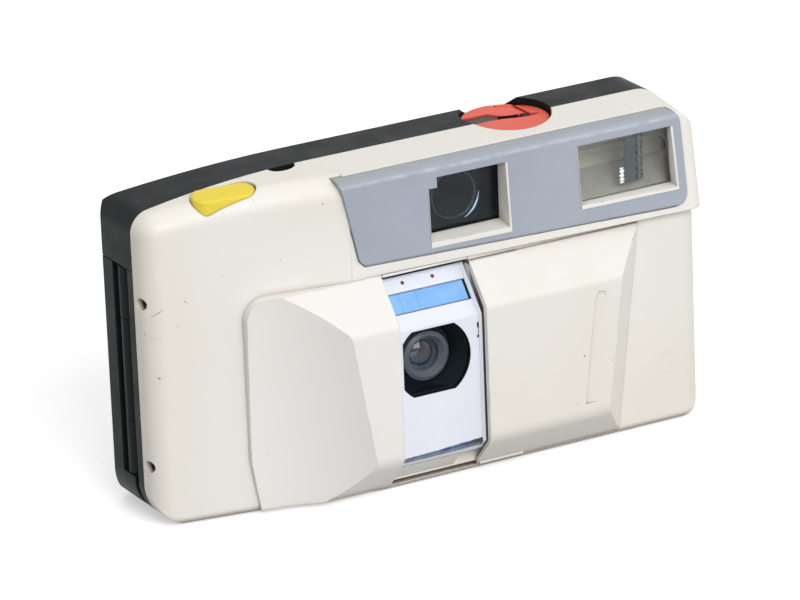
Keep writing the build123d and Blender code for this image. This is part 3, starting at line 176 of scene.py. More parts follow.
# Dark sheet of painted shade on the crank's front flank
SLOT_SHADE_Z = (CRANK_LOW + 0.1, DIAL_TOP - 0.22)
SLOT_SHADE_SINK, SLOT_SHADE_LIFT, SLOT_SHADE_ASIDE = 0.05, 0.1, 0.04
HINGE_X, HINGE_Z = DIAL_X + 5.0, 71.25
HINGE_R = 1.04
HINGE_BACK = 0.4
HINGE_Y = (DIAL_Y + 0.95, DIAL_Y + 6.55)
BRACKET_R = 1.0
BRACKET_Y = (DIAL_Y - 1.3, DIAL_Y + 0.85)

# Lens panel and the pieces on it, in millimetres; outlines are pairs of Y and Z
PANEL_FRONT = [(-16.8, 6.45), (-18.9, 8.75), (-18.9, 38.0), (-11.07, 47.6)]
PANEL_BACK = [(-10.6, 47.2), (-18.3, 37.8), (-18.3, 9.0), (-16.4, 6.9)]
PANEL_FACET = Vector((0.0, -1.0, 0.816)).normalized()
FACET_Y, FACET_Z = -18.9, 38.0
FACET_SLOPE = 1.226
FACET_OUT = (0.775, 0.632)
SKIRT_X = (6.43, 7.33)
SKIRT_INSET = 0.05
TRIM_X = (-13.7, 7.25)
TRIM_Y = (-13.55, -11.75)
TRIM_Z = (48.9, 49.42)
CATCH_SPOTS = ((35.2, 36.1), (32.7, 33.4))
CATCH_X, CATCH_Y = (5.95, 6.35), (-18.96, -18.6)
CATCH_SLANT = 0.1
CATCH_BAR = ((6.15, 6.3), (-18.93, -18.6), (33.4, 35.2))
STRIPE_X = (-13.25, 6.15)
STRIPE_Z = (41.0, 44.6)
STRIPE_SINK, STRIPE_LIFT = -0.38, 0.06

# Finder lens, in millimetres: centre (X, Z), seat and the crescent on its edge, which is a
# painted highlight
FINDER = (7.9, 61.6)
FINDER_Y = -6.6
SEAT_R, SEAT_TUBE_R = 5.5, 0.4
CRESCENT_R = 6.25
CRESCENT_Y = (FINDER_Y - 0.5, FINDER_Y - 0.3)
CRESCENT_START, CRESCENT_SWEEP = -66, 62
CRESCENT_THIN, CRESCENT_SWELL = 0.04, 0.38

# Guard behind the flash window and pale ribs at its foot that paint a glint, in millimetres: X,
# half width, tooth pitch and depth
GUARD = (49.9, 1.75, 0.9, 0.55)
GUARD_LIFT, GUARD_THICK, GUARD_MARGIN = 0.12, 0.3, 0.1
GLINT = (47.75, 0.75, 0.42, 0.55)
GLINT_LIFT, GLINT_THICK = 0.2, 0.2
GLINT_LOW, GLINT_HIGH = 0.15, 3.7


def scaled(colour, share):
    return tuple(c * share for c in colour)


class Tree:
    """Short calls that add shader nodes to one material."""

    def __init__(self, name):
        self.material = bpy.data.materials.new(name)
        self.material.use_nodes = True
        self.nodes = self.material.node_tree.nodes
        self.links = self.material.node_tree.links
        self.shader = self.nodes["Principled BSDF"]
        self.output = self.nodes["Material Output"]
        self.place = self.nodes.new("ShaderNodeTexCoord").outputs["Object"]

    def add(self, kind, values=None, **settings):
        node = self.nodes.new(kind)
        for key, value in settings.items():
            setattr(node, key, value)
        for key, value in (values or {}).items():
            if hasattr(value, "links"):
                self.links.new(value, node.inputs[key])
            else:
                node.inputs[key].default_value = value
        return node

    def set(self, **values):
        for key, value in values.items():
            socket = self.shader.inputs[key.replace("_", " ")]
            if hasattr(value, "links"):
                self.links.new(value, socket)
            else:
                socket.default_value = value

    def noise(self, scale, detail=3.0, rough=0.55, stretch=None):
        """Noise that repeats about scale times a metre."""
        place = self.place
        if stretch:
            place = self.add("ShaderNodeMapping", {"Vector": place, "Scale": stretch}).outputs[0]
        values = {"Vector": place, "Scale": scale, "Detail": detail, "Roughness": rough}
        return self.add("ShaderNodeTexNoise", values).outputs["Fac"]

    def spread(self, value, low, high, to_low=0.0, to_high=1.0):
        """Value stretched so that low becomes to_low and high becomes to_high."""
        values = {0: value, 1: low, 2: high, 3: to_low, 4: to_high}
        return self.add("ShaderNodeMapRange", values, clamp=True).outputs[0]

    def patches(self, scale, low, high, to_low=0.0, to_high=1.0, detail=3.0):
        """Noise of which only the range from low to high is kept."""
        return self.spread(self.noise(scale, detail), low, high, to_low, to_high)

    def mix(self, factor, a, b):
        node = self.add("ShaderNodeMix", data_type="RGBA")
        for key, value in ((0, factor), (6, a), (7, b)):
            if hasattr(value, "links"):
                self.links.new(value, node.inputs[key])
            elif key == 0:
                node.inputs[key].default_value = value
            else:
                node.inputs[key].default_value = (*value, 1.0)
        return node.outputs[2]

    def math(self, operation, a, b=0.0):
        return self.add("ShaderNodeMath", {0: a, 1: b}, operation=operation).outputs[0]

    def times(self, a, b):
        return self.math("MULTIPLY", a, b)

    def minus(self, a, b):
        return self.math("SUBTRACT", a, b)

    def length(self, a, b):
        """Distance from the origin of the point (a, b)."""
        squares = self.math("ADD", self.math("POWER", a, 2.0), self.math("POWER", b, 2.0))
        return self.math("SQRT", squares)

    def soft_edge(self, radius):
        """Normal that is rounded off within radius of an edge."""
        return self.add("ShaderNodeBevel", {"Radius": radius}, samples=4).outputs[0]

    def axis(self, name):
        """One coordinate of the node's own frame, in metres."""
        return self.add("ShaderNodeSeparateXYZ", {0: self.place}).outputs[name]

    def band(self, value, low, high, blur=0.00006):
        """1 between low and high, with slightly soft limits."""
        above = self.spread(value, low - blur, low + blur)
        below = self.spread(value, high + blur, high - blur)
        return self.times(above, below)

    def edge_mask(self, rounded):
        """1 beside an edge, 0 on open faces."""
        straight = self.add("ShaderNodeNewGeometry").outputs["Normal"]
        dot = self.add("ShaderNodeVectorMath", {0: rounded, 1: straight}, operation="DOT_PRODUCT")
        return self.spread(dot.outputs["Value"], 0.995, 0.9)

    def hollow_shade_mask(self, distance):
        """1 deep in a groove or corner, 0 in the open: where painted shade goes."""
        node = self.add("ShaderNodeAmbientOcclusion", {"Distance": distance}, samples=6)
        return self.spread(node.outputs["AO"], 0.75, 0.15)

    def bumps(self, height, strength, normal=None, distance=0.0002):
        values = {"Height": height, "Strength": strength, "Distance": distance}
        if normal is not None:
            values["Normal"] = normal
        return self.add("ShaderNodeBump", values).outputs[0]


def moulded(name, colour, roughness, grain, edge=None, hollow_shade=None, hollow=0.0025, shine=0.4):
    """Satin moulded plastic: uneven colour, fine grain, softened edges, painted shade in the
    grooves.
    """
    tree = Tree(name)
    rounded = tree.soft_edge(0.00022)
    tone = tree.mix(tree.patches(55.0, 0.35, 0.65), colour, scaled(colour, 0.90))
    if edge:
        worn = tree.times(tree.edge_mask(rounded), tree.patches(420.0, 0.42, 0.62, 0.0, 0.75))
        tone = tree.mix(worn, tone, edge)
    # Painted shade: a darker colour in grooves and corners
    if hollow_shade:
        tone = tree.mix(tree.times(tree.hollow_shade_mask(hollow), 0.75), tone, hollow_shade)
    gloss = tree.patches(160.0, 0.3, 0.7, roughness - 0.06, roughness + 0.08)
    fine = tree.noise(2600.0, 2.0)
    tree.set(Base_Color=tone, Roughness=gloss, Normal=tree.bumps(fine, grain, rounded, 0.00008))
    tree.shader.inputs["IOR"].default_value = 1.49
    tree.shader.inputs["Specular IOR Level"].default_value = shine
    return tree.material


def rub_mask(tree):
    """1 on the short slanting rub mark near the left end of the front."""
    lean = tree.times(tree.minus(tree.axis("X"), RUB_LINE[0]), RUB_SLOPE)
    off_line = tree.minus(tree.minus(tree.axis("Z"), RUB_LINE[1]), lean)
    stroke = tree.band(off_line, -RUB_HALF, RUB_HALF, RUB_HALF)
    stroke = tree.times(stroke, tree.band(tree.axis("X"), *RUB_X, 0.0004))
    return tree.times(stroke, tree.patches(700.0, 0.35, 0.6, 0.2, 0.75))


def cream_material():
    """Aged cream plastic: yellowed patches, specks, faint scuffs, worn edges, painted light on
    the grip, painted shade on the left end and painted brown shade in the grooves.
    """
    tree = Tree("cream_plastic")
    rounded = tree.soft_edge(0.0003)
    aged = tree.patches(26.0, 0.42, 0.72, 0.0, 0.45, detail=4.0)
    tone = tree.mix(aged, CREAM, CREAM_AGED_AND_SHADE)
    # Painted light: the grip's front and left face, below the top, made paler
    lit_zone = tree.band(tree.axis("X"), *LIT_X, LIT_BLUR)
    lit_zone = tree.times(lit_zone, tree.spread(tree.axis("Z"), *LIT_Z))
    tone = tree.mix(tree.times(lit_zone, 0.6), tone, CREAM_LIT)
    # Painted shade, with some yellowing: the left end made darker and yellower
    tone = tree.mix(tree.spread(tree.axis("X"), *LEFT_END_SHADE_AND_AGE_X, 0.0, 0.35), tone, CREAM_AGED_AND_SHADE)
    specks = tree.spread(tree.noise(560.0, 2.0, 0.5), 0.755, 0.775, 0.0, 0.65)
    tone = tree.mix(specks, tone, CREAM_GRIME_AND_SHADE)
    strokes = tree.noise(90.0, 3.0, 0.6, (1.0, 1.0, 5.0))
    tone = tree.mix(tree.spread(strokes, 0.68, 0.76, 0.0, 0.16), tone, CREAM_SCUFF)
    dirty = tree.patches(210.0, 0.50, 0.66, 0.0, 0.45, detail=4.0)
    tone = tree.mix(tree.times(tree.edge_mask(rounded), dirty), tone, CREAM_GRIME_AND_SHADE)
    # Painted shade: brown darkening in grooves and corners
    tone = tree.mix(tree.times(tree.hollow_shade_mask(0.0030), 0.85), tone, CREAM_GRIME_AND_SHADE)
    tone = tree.mix(rub_mask(tree), tone, RUB_GREY)
    gloss = tree.patches(120.0, 0.3, 0.7, 0.34, 0.48)
    fine = tree.noise(2400.0, 2.0)
    tree.set(Base_Color=tone, Roughness=gloss, Normal=tree.bumps(fine, 0.08, rounded, 0.00008))
    tree.shader.inputs["IOR"].default_value = 1.48
    tree.shader.inputs["Specular IOR Level"].default_value = 0.3
    tree.shader.inputs["Subsurface Weight"].default_value = 0.06
    tree.shader.inputs["Subsurface Radius"].default_value = (0.9, 0.7, 0.5)
    tree.shader.inputs["Subsurface Scale"].default_value = 0.0012
    return tree.material


def fascia_material():
    """Grey-blue panel: painted shade on the band above the bend, a painted highlight on the bend
    line, lighter worn edges and painted shade in the grooves.
    """
    tree = Tree("panel_plastic")
    rounded = tree.soft_edge(0.00025)
    cloudy = tree.patches(48.0, 0.38, 0.66, detail=4.0)
    tone = tree.mix(cloudy, PANEL_GREY, scaled(PANEL_GREY, 0.92))
    height = tree.axis("Z")
    # Painted shade: the band above the bend made darker
    tone = tree.mix(tree.spread(height, *BAND_SHADE_Z), tone, PANEL_BAND_SHADE)
    # Painted highlight: a lighter line along the bend, broken up in patches
    broken_highlight = tree.patches(300.0, 0.38, 0.62, 0.15, 0.6)
    tone = tree.mix(tree.times(tree.band(height, *BEND_HIGHLIGHT_Z, 0.0002), broken_highlight), tone, PANEL_HIGHLIGHT_AND_WEAR)
    worn = tree.times(tree.edge_mask(rounded), tree.patches(420.0, 0.42, 0.62, 0.0, 0.7))
    tone = tree.mix(worn, tone, PANEL_HIGHLIGHT_AND_WEAR)
    # Painted shade in grooves and corners
    tone = tree.mix(tree.times(tree.hollow_shade_mask(0.0012), 0.7), tone, PANEL_HOLLOW_SHADE)
    gloss = tree.patches(170.0, 0.3, 0.7, 0.34, 0.46)
    fine = tree.noise(2600.0, 2.0)
    tree.set(Base_Color=tone, Roughness=gloss, Normal=tree.bumps(fine, 0.06, rounded, 0.00008))
    return tree.material


def opening_wall(tree):
    """1 on the wall of the round lens opening, 0 on the panel's open faces."""
    above = tree.minus(tree.axis("Z"), LENS_Z)
    reach = tree.length(tree.minus(tree.axis("X"), LENS_X), above)
    deep = tree.times(tree.spread(tree.axis("Y"), *OPENING_Y), tree.spread(above, *OPENING_TOP))
    return tree.times(deep, tree.spread(reach, *OPENING_R))


def lens_panel_material():
    """Glossy white panel with an inked navy strip along its lower crease and painted shade in its
    grooves.
    """
    tree = Tree("lens_panel_plastic")
    rounded = tree.soft_edge(0.00025)
    tone = tree.mix(tree.patches(60.0, 0.35, 0.65), WHITE, scaled(WHITE, 0.95))
    uneven = tree.times(tree.patches(380.0, 0.3, 0.7, -1.0, 1.0), INK_UNEVEN)
    thin = tree.spread(tree.axis("X"), *INK_X, -INK_THIN, INK_THIN)
    height = tree.math("ADD", tree.minus(tree.axis("Z"), thin), uneven)
    strip = tree.times(tree.band(height, *INK_Z, 0.0001), tree.spread(tree.axis("Y"), *INK_Y))
    ink = tree.mix(tree.patches(240.0, 0.45, 0.62, detail=4.0), NAVY, NAVY_WORN)
    ink = tree.mix(tree.spread(tree.axis("X"), *INK_END_X), ink, INK_BLACK)
    tone = tree.mix(strip, tone, ink)
    tone = tree.mix(opening_wall(tree), tone, OPENING_BLACK)
    # Painted shade in grooves and corners
    tone = tree.mix(tree.times(tree.hollow_shade_mask(0.0014), 0.7), tone, WHITE_HOLLOW_SHADE)
    gloss = tree.patches(160.0, 0.3, 0.7, 0.14, 0.24)
    fine = tree.noise(2600.0, 2.0)
    tree.set(Base_Color=tone, Roughness=gloss, Normal=tree.bumps(fine, 0.03, rounded, 0.00008))
    return tree.material


def stripe_material():
    """Sky-blue inlay with painted shade along its top and bottom rims, two fine dark lines and
    painted black shade at its right end.
    """
    tree = Tree("blue_plastic")
    rounded = tree.soft_edge(0.0001)
    tone = tree.mix(tree.patches(120.0, 0.35, 0.65), BLUE, BLUE_PALE)
    height = tree.axis("Z")
    low, high = STRIPE_Z[0] * MM, STRIPE_Z[1] * MM
    # Painted shade along the stripe's top and bottom rims; the fine lines below are print
    low_rim = tree.spread(height, low + 0.00025, low + 0.00005)
    high_rim = tree.spread(height, high - 0.00025, high - 0.00005)
    tone = tree.mix(tree.times(tree.math("MAXIMUM", low_rim, high_rim), 0.75), tone, BLUE_RIM_SHADE_AND_LINE)
    for x in STRIPE_LINES:
        line = tree.band(tree.axis("X"), x - STRIPE_LINE_HALF, x + STRIPE_LINE_HALF, 0.00003)
        tone = tree.mix(tree.times(line, 0.7), tone, BLUE_RIM_SHADE_AND_LINE)
    # Painted shade: the right end made black
    tone = tree.mix(tree.spread(tree.axis("X"), *STRIPE_END_SHADE_X), tone, BLUE_END_SHADE)
    gloss = tree.patches(200.0, 0.3, 0.7, 0.18, 0.28)
    fine = tree.noise(2400.0, 2.0)
    tree.set(Base_Color=tone, Roughness=gloss, Normal=tree.bumps(fine, 0.03, rounded, 0.00006))
    tree.shader.inputs["Specular IOR Level"].default_value = 0.25
    return tree.material


def counter_material():
    """White counter disc with fine black marks near its rim, every fourth one longer."""
    tree = Tree("counter_disc")
    ahead = tree.minus(tree.axis("Y"), COUNTER_Y)
    aside = tree.minus(tree.axis("X"), COUNTER_X)
    radius = tree.length(ahead, aside)
    turn = tree.times(tree.math("ARCTAN2", ahead, aside), COUNTER_MARKS / (2 * math.pi))

    def off_mark(value):
        whole = tree.math("FRACT", tree.math("ADD", value, 100.5))
        return tree.math("ABSOLUTE", tree.minus(whole, 0.5))

    mark = tree.times(tree.spread(off_mark(turn), 0.13, 0.09), tree.band(radius, *MARK_R))
    near_long = tree.spread(off_mark(tree.math("DIVIDE", turn, 4.0)), 0.05, 0.03)
    long_mark = tree.times(near_long, tree.band(radius, *LONG_MARK_R))
    tone = tree.mix(tree.math("MAXIMUM", mark, long_mark), DISC_WHITE, DISC_MARK)
    tree.set(Base_Color=tone, Roughness=tree.patches(300.0, 0.3, 0.7, 0.3, 0.42))
    rounded = tree.soft_edge(0.0001)
    tree.set(Normal=tree.bumps(tree.noise(2400.0, 2.0), 0.06, rounded, 0.00006))
    return tree.material


def door_material():
    """Black plastic of the film door, with a pebbled grip texture on its outer faces."""
    tree = Tree("pebbled_plastic")
    rounded = tree.soft_edge(0.00022)
    values = {"Vector": tree.place, "Scale": 780.0}
    cells = tree.add("ShaderNodeTexVoronoi", values).outputs["Distance"]
    outside = tree.spread(tree.axis("Y"), *DOOR_BACK_Y)
    crowns = tree.times(tree.spread(cells, 0.45, 0.05), outside)
    tone = tree.mix(tree.patches(60.0, 0.35, 0.65), BLACK, scaled(BLACK, 1.35))
    tone = tree.mix(crowns, tone, scaled(BLACK, 2.6))
    worn = tree.times(tree.edge_mask(rounded), tree.patches(380.0, 0.4, 0.62, 0.0, 0.6))
    tone = tree.mix(worn, tone, DOOR_WORN)
    gloss = tree.patches(140.0, 0.3, 0.7, 0.42, 0.56)
    tree.set(Base_Color=tone, Roughness=gloss, Normal=tree.bumps(crowns, 0.5, rounded, 0.00015))
    tree.shader.inputs["Specular IOR Level"].default_value = BLACK_SHINE
    return tree.material


def metal(name, colour, roughness, stretch=(1.0, 1.0, 14.0)):
    """Sheet or turned metal with fine drawn lines and light tarnish."""
    tree = Tree(name)
    rounded = tree.soft_edge(0.00012)
    lines = tree.noise(900.0, 2.0, 0.5, stretch)
    stain = tree.patches(240.0, 0.45, 0.7, 0.0, 0.5, detail=4.0)
    tone = tree.mix(stain, colour, scaled(colour, 0.62))
    gloss = tree.spread(lines, 0.3, 0.7, roughness - 0.08, roughness + 0.1)
    tree.set(Base_Color=tone, Roughness=gloss, Normal=tree.bumps(lines, 0.15, rounded, 0.00004))
    tree.shader.inputs["Metallic"].default_value = 1.0
    return tree.material


def clear(name, tint, roughness, index):
    """Clear moulding or glass that lets light through to what is behind it."""
    tree = Tree(name)
    smears = tree.patches(150.0, 0.4, 0.75, roughness, roughness + 0.10, detail=4.0)
    ripple = tree.bumps(tree.noise(260.0, 1.0), 0.02)
    tree.set(Base_Color=(*tint, 1.0), Roughness=smears, Normal=ripple)
    tree.shader.inputs["Transmission Weight"].default_value = 1.0
    tree.shader.inputs["IOR"].default_value = index
    path = tree.add("ShaderNodeLightPath").outputs["Is Shadow Ray"]
    passing = tree.add("ShaderNodeBsdfTransparent", {"Color": (*tint, 1.0)})
    shaders = {0: path, 1: tree.shader.outputs[0], 2: passing.outputs[0]}
    both = tree.add("ShaderNodeMixShader", shaders)
    tree.links.new(both.outputs[0], tree.output.inputs["Surface"])
    return tree.material


def circuit_material():
    """Green laminate with copper tracks under the lacquer."""
    tree = Tree("circuit_board")
    values = {"Vector": tree.place, "Scale": 260.0}
    plates = tree.add("ShaderNodeTexVoronoi", values, feature="DISTANCE_TO_EDGE")
    tracks = tree.spread(plates.outputs["Distance"], 0.10, 0.06)
    tone = tree.mix(tracks, LACQUER, TRACK_GREEN)
    grain = tree.bumps(tree.noise(1200.0, 2.0), 0.1)
    tree.set(Base_Color=tone, Roughness=0.32, Normal=tree.bumps(tracks, 0.4, grain))
    return tree.material


def cell_material(low, high):
    """Battery cell: dark sleeve, a brass-coloured band near the top and a bright cap."""
    tree = Tree("cell_sleeve")
    height = tree.axis("Z")
    scuffed = tree.patches(300.0, 0.55, 0.7, 0.0, 0.4, detail=4.0)
    band = tree.math("GREATER_THAN", height, high - CELL_BAND)
    tone = tree.mix(band, tree.mix(scuffed, SLEEVE, SLEEVE_WORN), BRASS)
    cap = tree.math("GREATER_THAN", height, high - CELL_CAP)
    base = tree.math("LESS_THAN", height, low + CELL_BASE)
    ends = tree.math("MAXIMUM", cap, base)
    tone = tree.mix(ends, tone, STEEL)
    shine = tree.math("MAXIMUM", band, ends)
    tree.set(Base_Color=tone, Metallic=shine, Roughness=0.32, Normal=tree.soft_edge(0.0004))
    return tree.material


def floor_material():
    """Pale floor that keeps the shadow and reads as white elsewhere."""
    tree = Tree("floor")
    seen = tree.add("ShaderNodeLightPath")
    direct = tree.math("MAXIMUM", seen.outputs["Is Camera Ray"], seen.outputs["Is Glossy Ray"])
    direct = tree.math("MAXIMUM", direct, seen.outputs["Is Transmission Ray"])
    tone = tree.patches(3.0, 0.3, 0.7, 0.88, 0.92)
    tone = tree.times(tone, tree.spread(direct, 0.0, 1.0, 0.45, 1.0))
    pale = tree.add("ShaderNodeCombineColor", {0: tone, 1: tone, 2: tone}).outputs[0]
    tree.set(Base_Color=pale, Roughness=0.9)
    glow = tree.times(direct, FLOOR_GLOW)
    tree.set(Emission_Color=(1.0, 1.0, 1.0, 1.0), Emission_Strength=glow)
    tree.shader.inputs["Specular IOR Level"].default_value = 0.0
    return tree.material


def soften(piece, width):
    """Rounded edges of a width in millimetres, with even shading on the flat faces."""
    edges = piece.modifiers.new("rounding", "BEVEL")
    edges.width = width * MM
    edges.segments = 3
    edges.limit_method = "ANGLE"
    edges.harden_normals = True
    for face in piece.data.polygons:
        face.use_smooth = True


def mesh_piece(name, build, material, body, rounding=None):
    """Object from a function that fills a bmesh, riding on a body."""
    mesh = bpy.data.meshes.new(name)
    shape = bmesh.new()
    build(shape)
    shape.to_mesh(mesh)
    shape.free()
    piece = bpy.data.objects.new(name, mesh)
    bpy.context.scene.collection.objects.link(piece)
    mesh.materials.append(material)
    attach(piece, body)
    if rounding:
        soften(piece, rounding)
    return piece


def dome(shape, centre, out, radius, height, rings=4, spokes=28):
    """Low round dot standing on a surface whose normal is out."""
    turn = Vector((0, 0, 1)).rotation_difference(out).to_matrix()
    rows = []
    for i in range(rings):
        angle = math.pi / 2 * i / rings
        row = []
        for j in range(spokes):
            around = 2 * math.pi * j / spokes
            flat = Vector((math.cos(around), math.sin(around), 0)) * radius * math.cos(angle)
            point = flat + Vector((0, 0, height * math.sin(angle)))
            row.append(shape.verts.new(centre + turn @ point))
        rows.append(row)
    top = shape.verts.new(centre + turn @ Vector((0, 0, height)))
    for lower, upper in zip(rows, rows[1:]):
        for j in range(spokes):
            k = (j + 1) % spokes
            shape.faces.new((lower[j], lower[k], upper[k], upper[j]))
    for j in range(spokes):
        shape.faces.new((rows[-1][j], rows[-1][(j + 1) % spokes], top))
    for face in shape.faces:
        face.smooth = True


def prism(shape, points, axis, low, high):
    """Straight block whose outline is given in the plane across an axis, in millimetres."""
    rows = []
    for level in (low, high):
        row = []
        for a, b in points:
            spot = {"X": (level, a, b), "Y": (a, level, b), "Z": (a, b, level)}[axis]
            row.append(shape.verts.new(Vector(spot) * MM))
        rows.append(row)
    shape.faces.new(rows[0])
    shape.faces.new(rows[1])
    count = len(points)
    for i in range(count):
        j = (i + 1) % count
        shape.faces.new((rows[0][i], rows[0][j], rows[1][j], rows[1][i]))
    bmesh.ops.recalc_face_normals(shape, faces=shape.faces[:])


def block(shape, x, y, z):
    """Straight box between two X, two Y and two Z values, in millimetres."""
    prism(shape, [(y[0], z[0]), (y[0], z[1]), (y[1], z[1]), (y[1], z[0])], "X", *x)


def revolve(shape, profile, centre, spokes=72):
    """Ring about an axis along Y through centre, from a closed (radius, y) outline."""
    rows = []
    for i in range(spokes):
        turn = 2 * math.pi * i / spokes
        row = []
        for radius, y in profile:
            spot = (centre[0] + radius * math.cos(turn), y, centre[1] + radius * math.sin(turn))
            row.append(shape.verts.new(Vector(spot) * MM))
        rows.append(row)
    count = len(profile)
    for i in range(spokes):
        here, there = rows[i], rows[(i + 1) % spokes]
        for j in range(count):
            k = (j + 1) % count
            shape.faces.new((here[j], here[k], there[k], there[j]))
    bmesh.ops.recalc_face_normals(shape, faces=shape.faces[:])
    for face in shape.faces:
        face.smooth = True


def arc(radius, start, end, steps):
    """Points of an arc round the origin, angles in degrees."""
    turns = [math.radians(start + (end - start) * i / steps) for i in range(steps + 1)]
    return [(radius * math.cos(turn), radius * math.sin(turn)) for turn in turns]


def ribbed(x, half, pitch, depth, low, high):
    """Outline of an upright strip with toothed sides."""
    count = int((high - low) / pitch)
    right, left = [], []
    for i in range(count + 1):
        z = low + i * (high - low) / count
        bite = depth if i % 2 else 0.0
        right.append((x + half - bite, z))
        left.append((x - half + bite, z))
    return right + left[::-1]


def dial_block(shape, points, low, high):
    prism(shape, [(x + DIAL_X, y + DIAL_Y) for x, y in points], "Z", low, high)


def dial_front_form(shape):
    """Front half with its flank, which wraps round the crank's hinge."""
    rim = arc(DIAL_R, *FRONT_SWEEP, 96)
    dial_block(shape, rim + BESIDE_CRANK + BESIDE_SLOT + FRONT_TIP, DIAL_LOW, DIAL_TOP)


def crank_form(shape):
    rim = arc(DIAL_R, *CRANK_SWEEP, 40)
    dial_block(shape, rim + CRANK_TIP + CRANK_FRONT + CRANK_END, CRANK_LOW, DIAL_TOP)


def knuckle_form(shape):
    """Round knuckle of the crank, about its pin."""
    ring = [(HINGE_X + a, HINGE_Z + b) for a, b in arc(HINGE_R, -90, 90, 16)]
    back = [(HINGE_X - HINGE_BACK, HINGE_Z + HINGE_R), (HINGE_X - HINGE_BACK, HINGE_Z - HINGE_R)]
    prism(shape, ring + back, "Y", *HINGE_Y)


def recess_form(shape):
    rim = arc(RECESS_R, *RECESS_SWEEP, 20)
    dial_block(shape, rim + RECESS_EDGE, DIAL_LOW, RECESS_TOP)


def slot_shade_form(shape):
    """Dark sheet on the crank's front flank, painted shade which makes the finger slot read as
    black.
    """
    inner = [(x, y + SLOT_SHADE_SINK) for x, y in CRANK_FRONT]
    outer = [(x - SLOT_SHADE_ASIDE, y - SLOT_SHADE_LIFT) for x, y in CRANK_FRONT]
    dial_block(shape, inner + outer[::-1], *SLOT_SHADE_Z)


def bracket_form(shape):
    """Dark bracket that holds the crank's pin where the slot crosses it."""
    arch = [(HINGE_X + a, HINGE_Z + b) for a, b in arc(BRACKET_R, 0, 180, 16)]
    foot = [(HINGE_X - BRACKET_R, DIAL_LOW), (HINGE_X + BRACKET_R, DIAL_LOW)]
    prism(shape, arch + foot, "Y", *BRACKET_Y)


def skirt_form(shape):
    side = [(y + SKIRT_INSET, z) for y, z in PANEL_FRONT + PANEL_BACK]
    prism(shape, side, "X", *SKIRT_X)


def trim_form(shape):
    block(shape, TRIM_X, TRIM_Y, TRIM_Z)


def catch_form(shape):
    """Two small marks joined by a thin bar, on the panel's right edge."""
    left, right = CATCH_X
    for low, high in CATCH_SPOTS:
        spot = [(left, low), (right, low + CATCH_SLANT), (right, high), (left, high)]
        prism(shape, spot, "Y", *CATCH_Y)
    block(shape, *CATCH_BAR)


def on_facet(z, lift):
    """Side-view point of the panel's sloping facet at height z, lifted off it."""
    y = FACET_Y + (z - FACET_Z) / FACET_SLOPE
    return (y - lift * FACET_OUT[0], z + lift * FACET_OUT[1])


def stripe_form(shape):
    low, high = STRIPE_Z
    inner = [on_facet(low, STRIPE_SINK), on_facet(high, STRIPE_SINK)]
    outer = [on_facet(high, STRIPE_LIFT), on_facet(low, STRIPE_LIFT)]
    prism(shape, inner + outer, "X", *STRIPE_X)


def finder_seat_form(shape):
    turns = [math.radians(30 * i) for i in range(12)]
    tube = [
        (SEAT_R + SEAT_TUBE_R * math.cos(turn), FINDER_Y + SEAT_TUBE_R * math.sin(turn))
        for turn in turns
    ]
    revolve(shape, tube, FINDER)


def finder_highlight_form(shape, steps=24):
    """Crescent of pale plastic, a painted highlight, that tapers to both ends."""
    outer, inner = [], []
    for i in range(steps + 1):
        share = i / steps
        turn = math.radians(CRESCENT_START + CRESCENT_SWEEP * share)
        width = CRESCENT_THIN + CRESCENT_SWELL * math.sin(math.pi * share) ** 1.5
        for row, radius in ((outer, CRESCENT_R + width / 2), (inner, CRESCENT_R - width / 2)):
            row.append((FINDER[0] + radius * math.cos(turn), FINDER[1] + radius * math.sin(turn)))
    prism(shape, outer + inner[::-1], "Y", *CRESCENT_Y)


def guard_form(shape):
    """Ribbed guard in front of the flash's trigger contact."""
    front = contact_low.y / MM - GUARD_LIFT
    low, high = contact_low.z / MM + GUARD_MARGIN, contact_high.z / MM - GUARD_MARGIN
    prism(shape, ribbed(*GUARD, low, high), "Y", front - GUARD_THICK, front)


def glint_form(shape):
    """Pale ribs at the guard's foot, a painted glint."""
    front = contact_low.y / MM - GLINT_LIFT
    low = contact_low.z / MM
    side = ribbed(*GLINT, low + GLINT_LOW, low + GLINT_HIGH)
    prism(shape, side, "Y", front - GLINT_THICK, front)


def dress_nodes():
    """Every CAD node gets the finish of its slot, or one of its own."""
    for part in frame["record"]["subparts"]:
        node = frame["nodes"][part["node"]]
        finish = OWN_FINISH.get(part["node"], FINISHES[part["material_slot"]])
        node.data.materials.clear()
        node.data.materials.append(finish)


def lay_floor():
    mesh = bpy.data.meshes.new("floor")
    far = FLOOR_REACH
    corners = [(-far, -far, 0), (far, -far, 0), (far, far, 0), (-far, far, 0)]
    mesh.from_pydata(corners, [], [(0, 1, 2, 3)])
    floor = bpy.data.objects.new("floor", mesh)
    bpy.context.scene.collection.objects.link(floor)
    floor.location.z = cad_low.z - FLOOR_DROP
    mesh.materials.append(floor_material())


def light_sky():
    """Even sky that is white where it is seen, and gives less light than that."""
    world = bpy.data.worlds.new("studio")
    bpy.context.scene.world = world
    world.use_nodes = True
    nodes, links = world.node_tree.nodes, world.node_tree.links
    sky = nodes["Background"]
    sky.inputs["Color"].default_value = (1.0, 1.0, 1.0, 1.0)
    path = nodes.new("ShaderNodeLightPath")
    seen = path.outputs["Is Camera Ray"]
    for kind in ("Is Glossy Ray", "Is Transmission Ray"):
        either = nodes.new("ShaderNodeMath")
        either.operation = "MAXIMUM"
        links.new(seen, either.inputs[0])
        links.new(path.outputs[kind], either.inputs[1])
        seen = either.outputs[0]
    level = nodes.new("ShaderNodeMapRange")
    links.new(seen, level.inputs[0])
    level.inputs[3].default_value = SKY_LIGHT
    level.inputs[4].default_value = SKY_SEEN
    links.new(level.outputs[0], sky.inputs["Strength"])


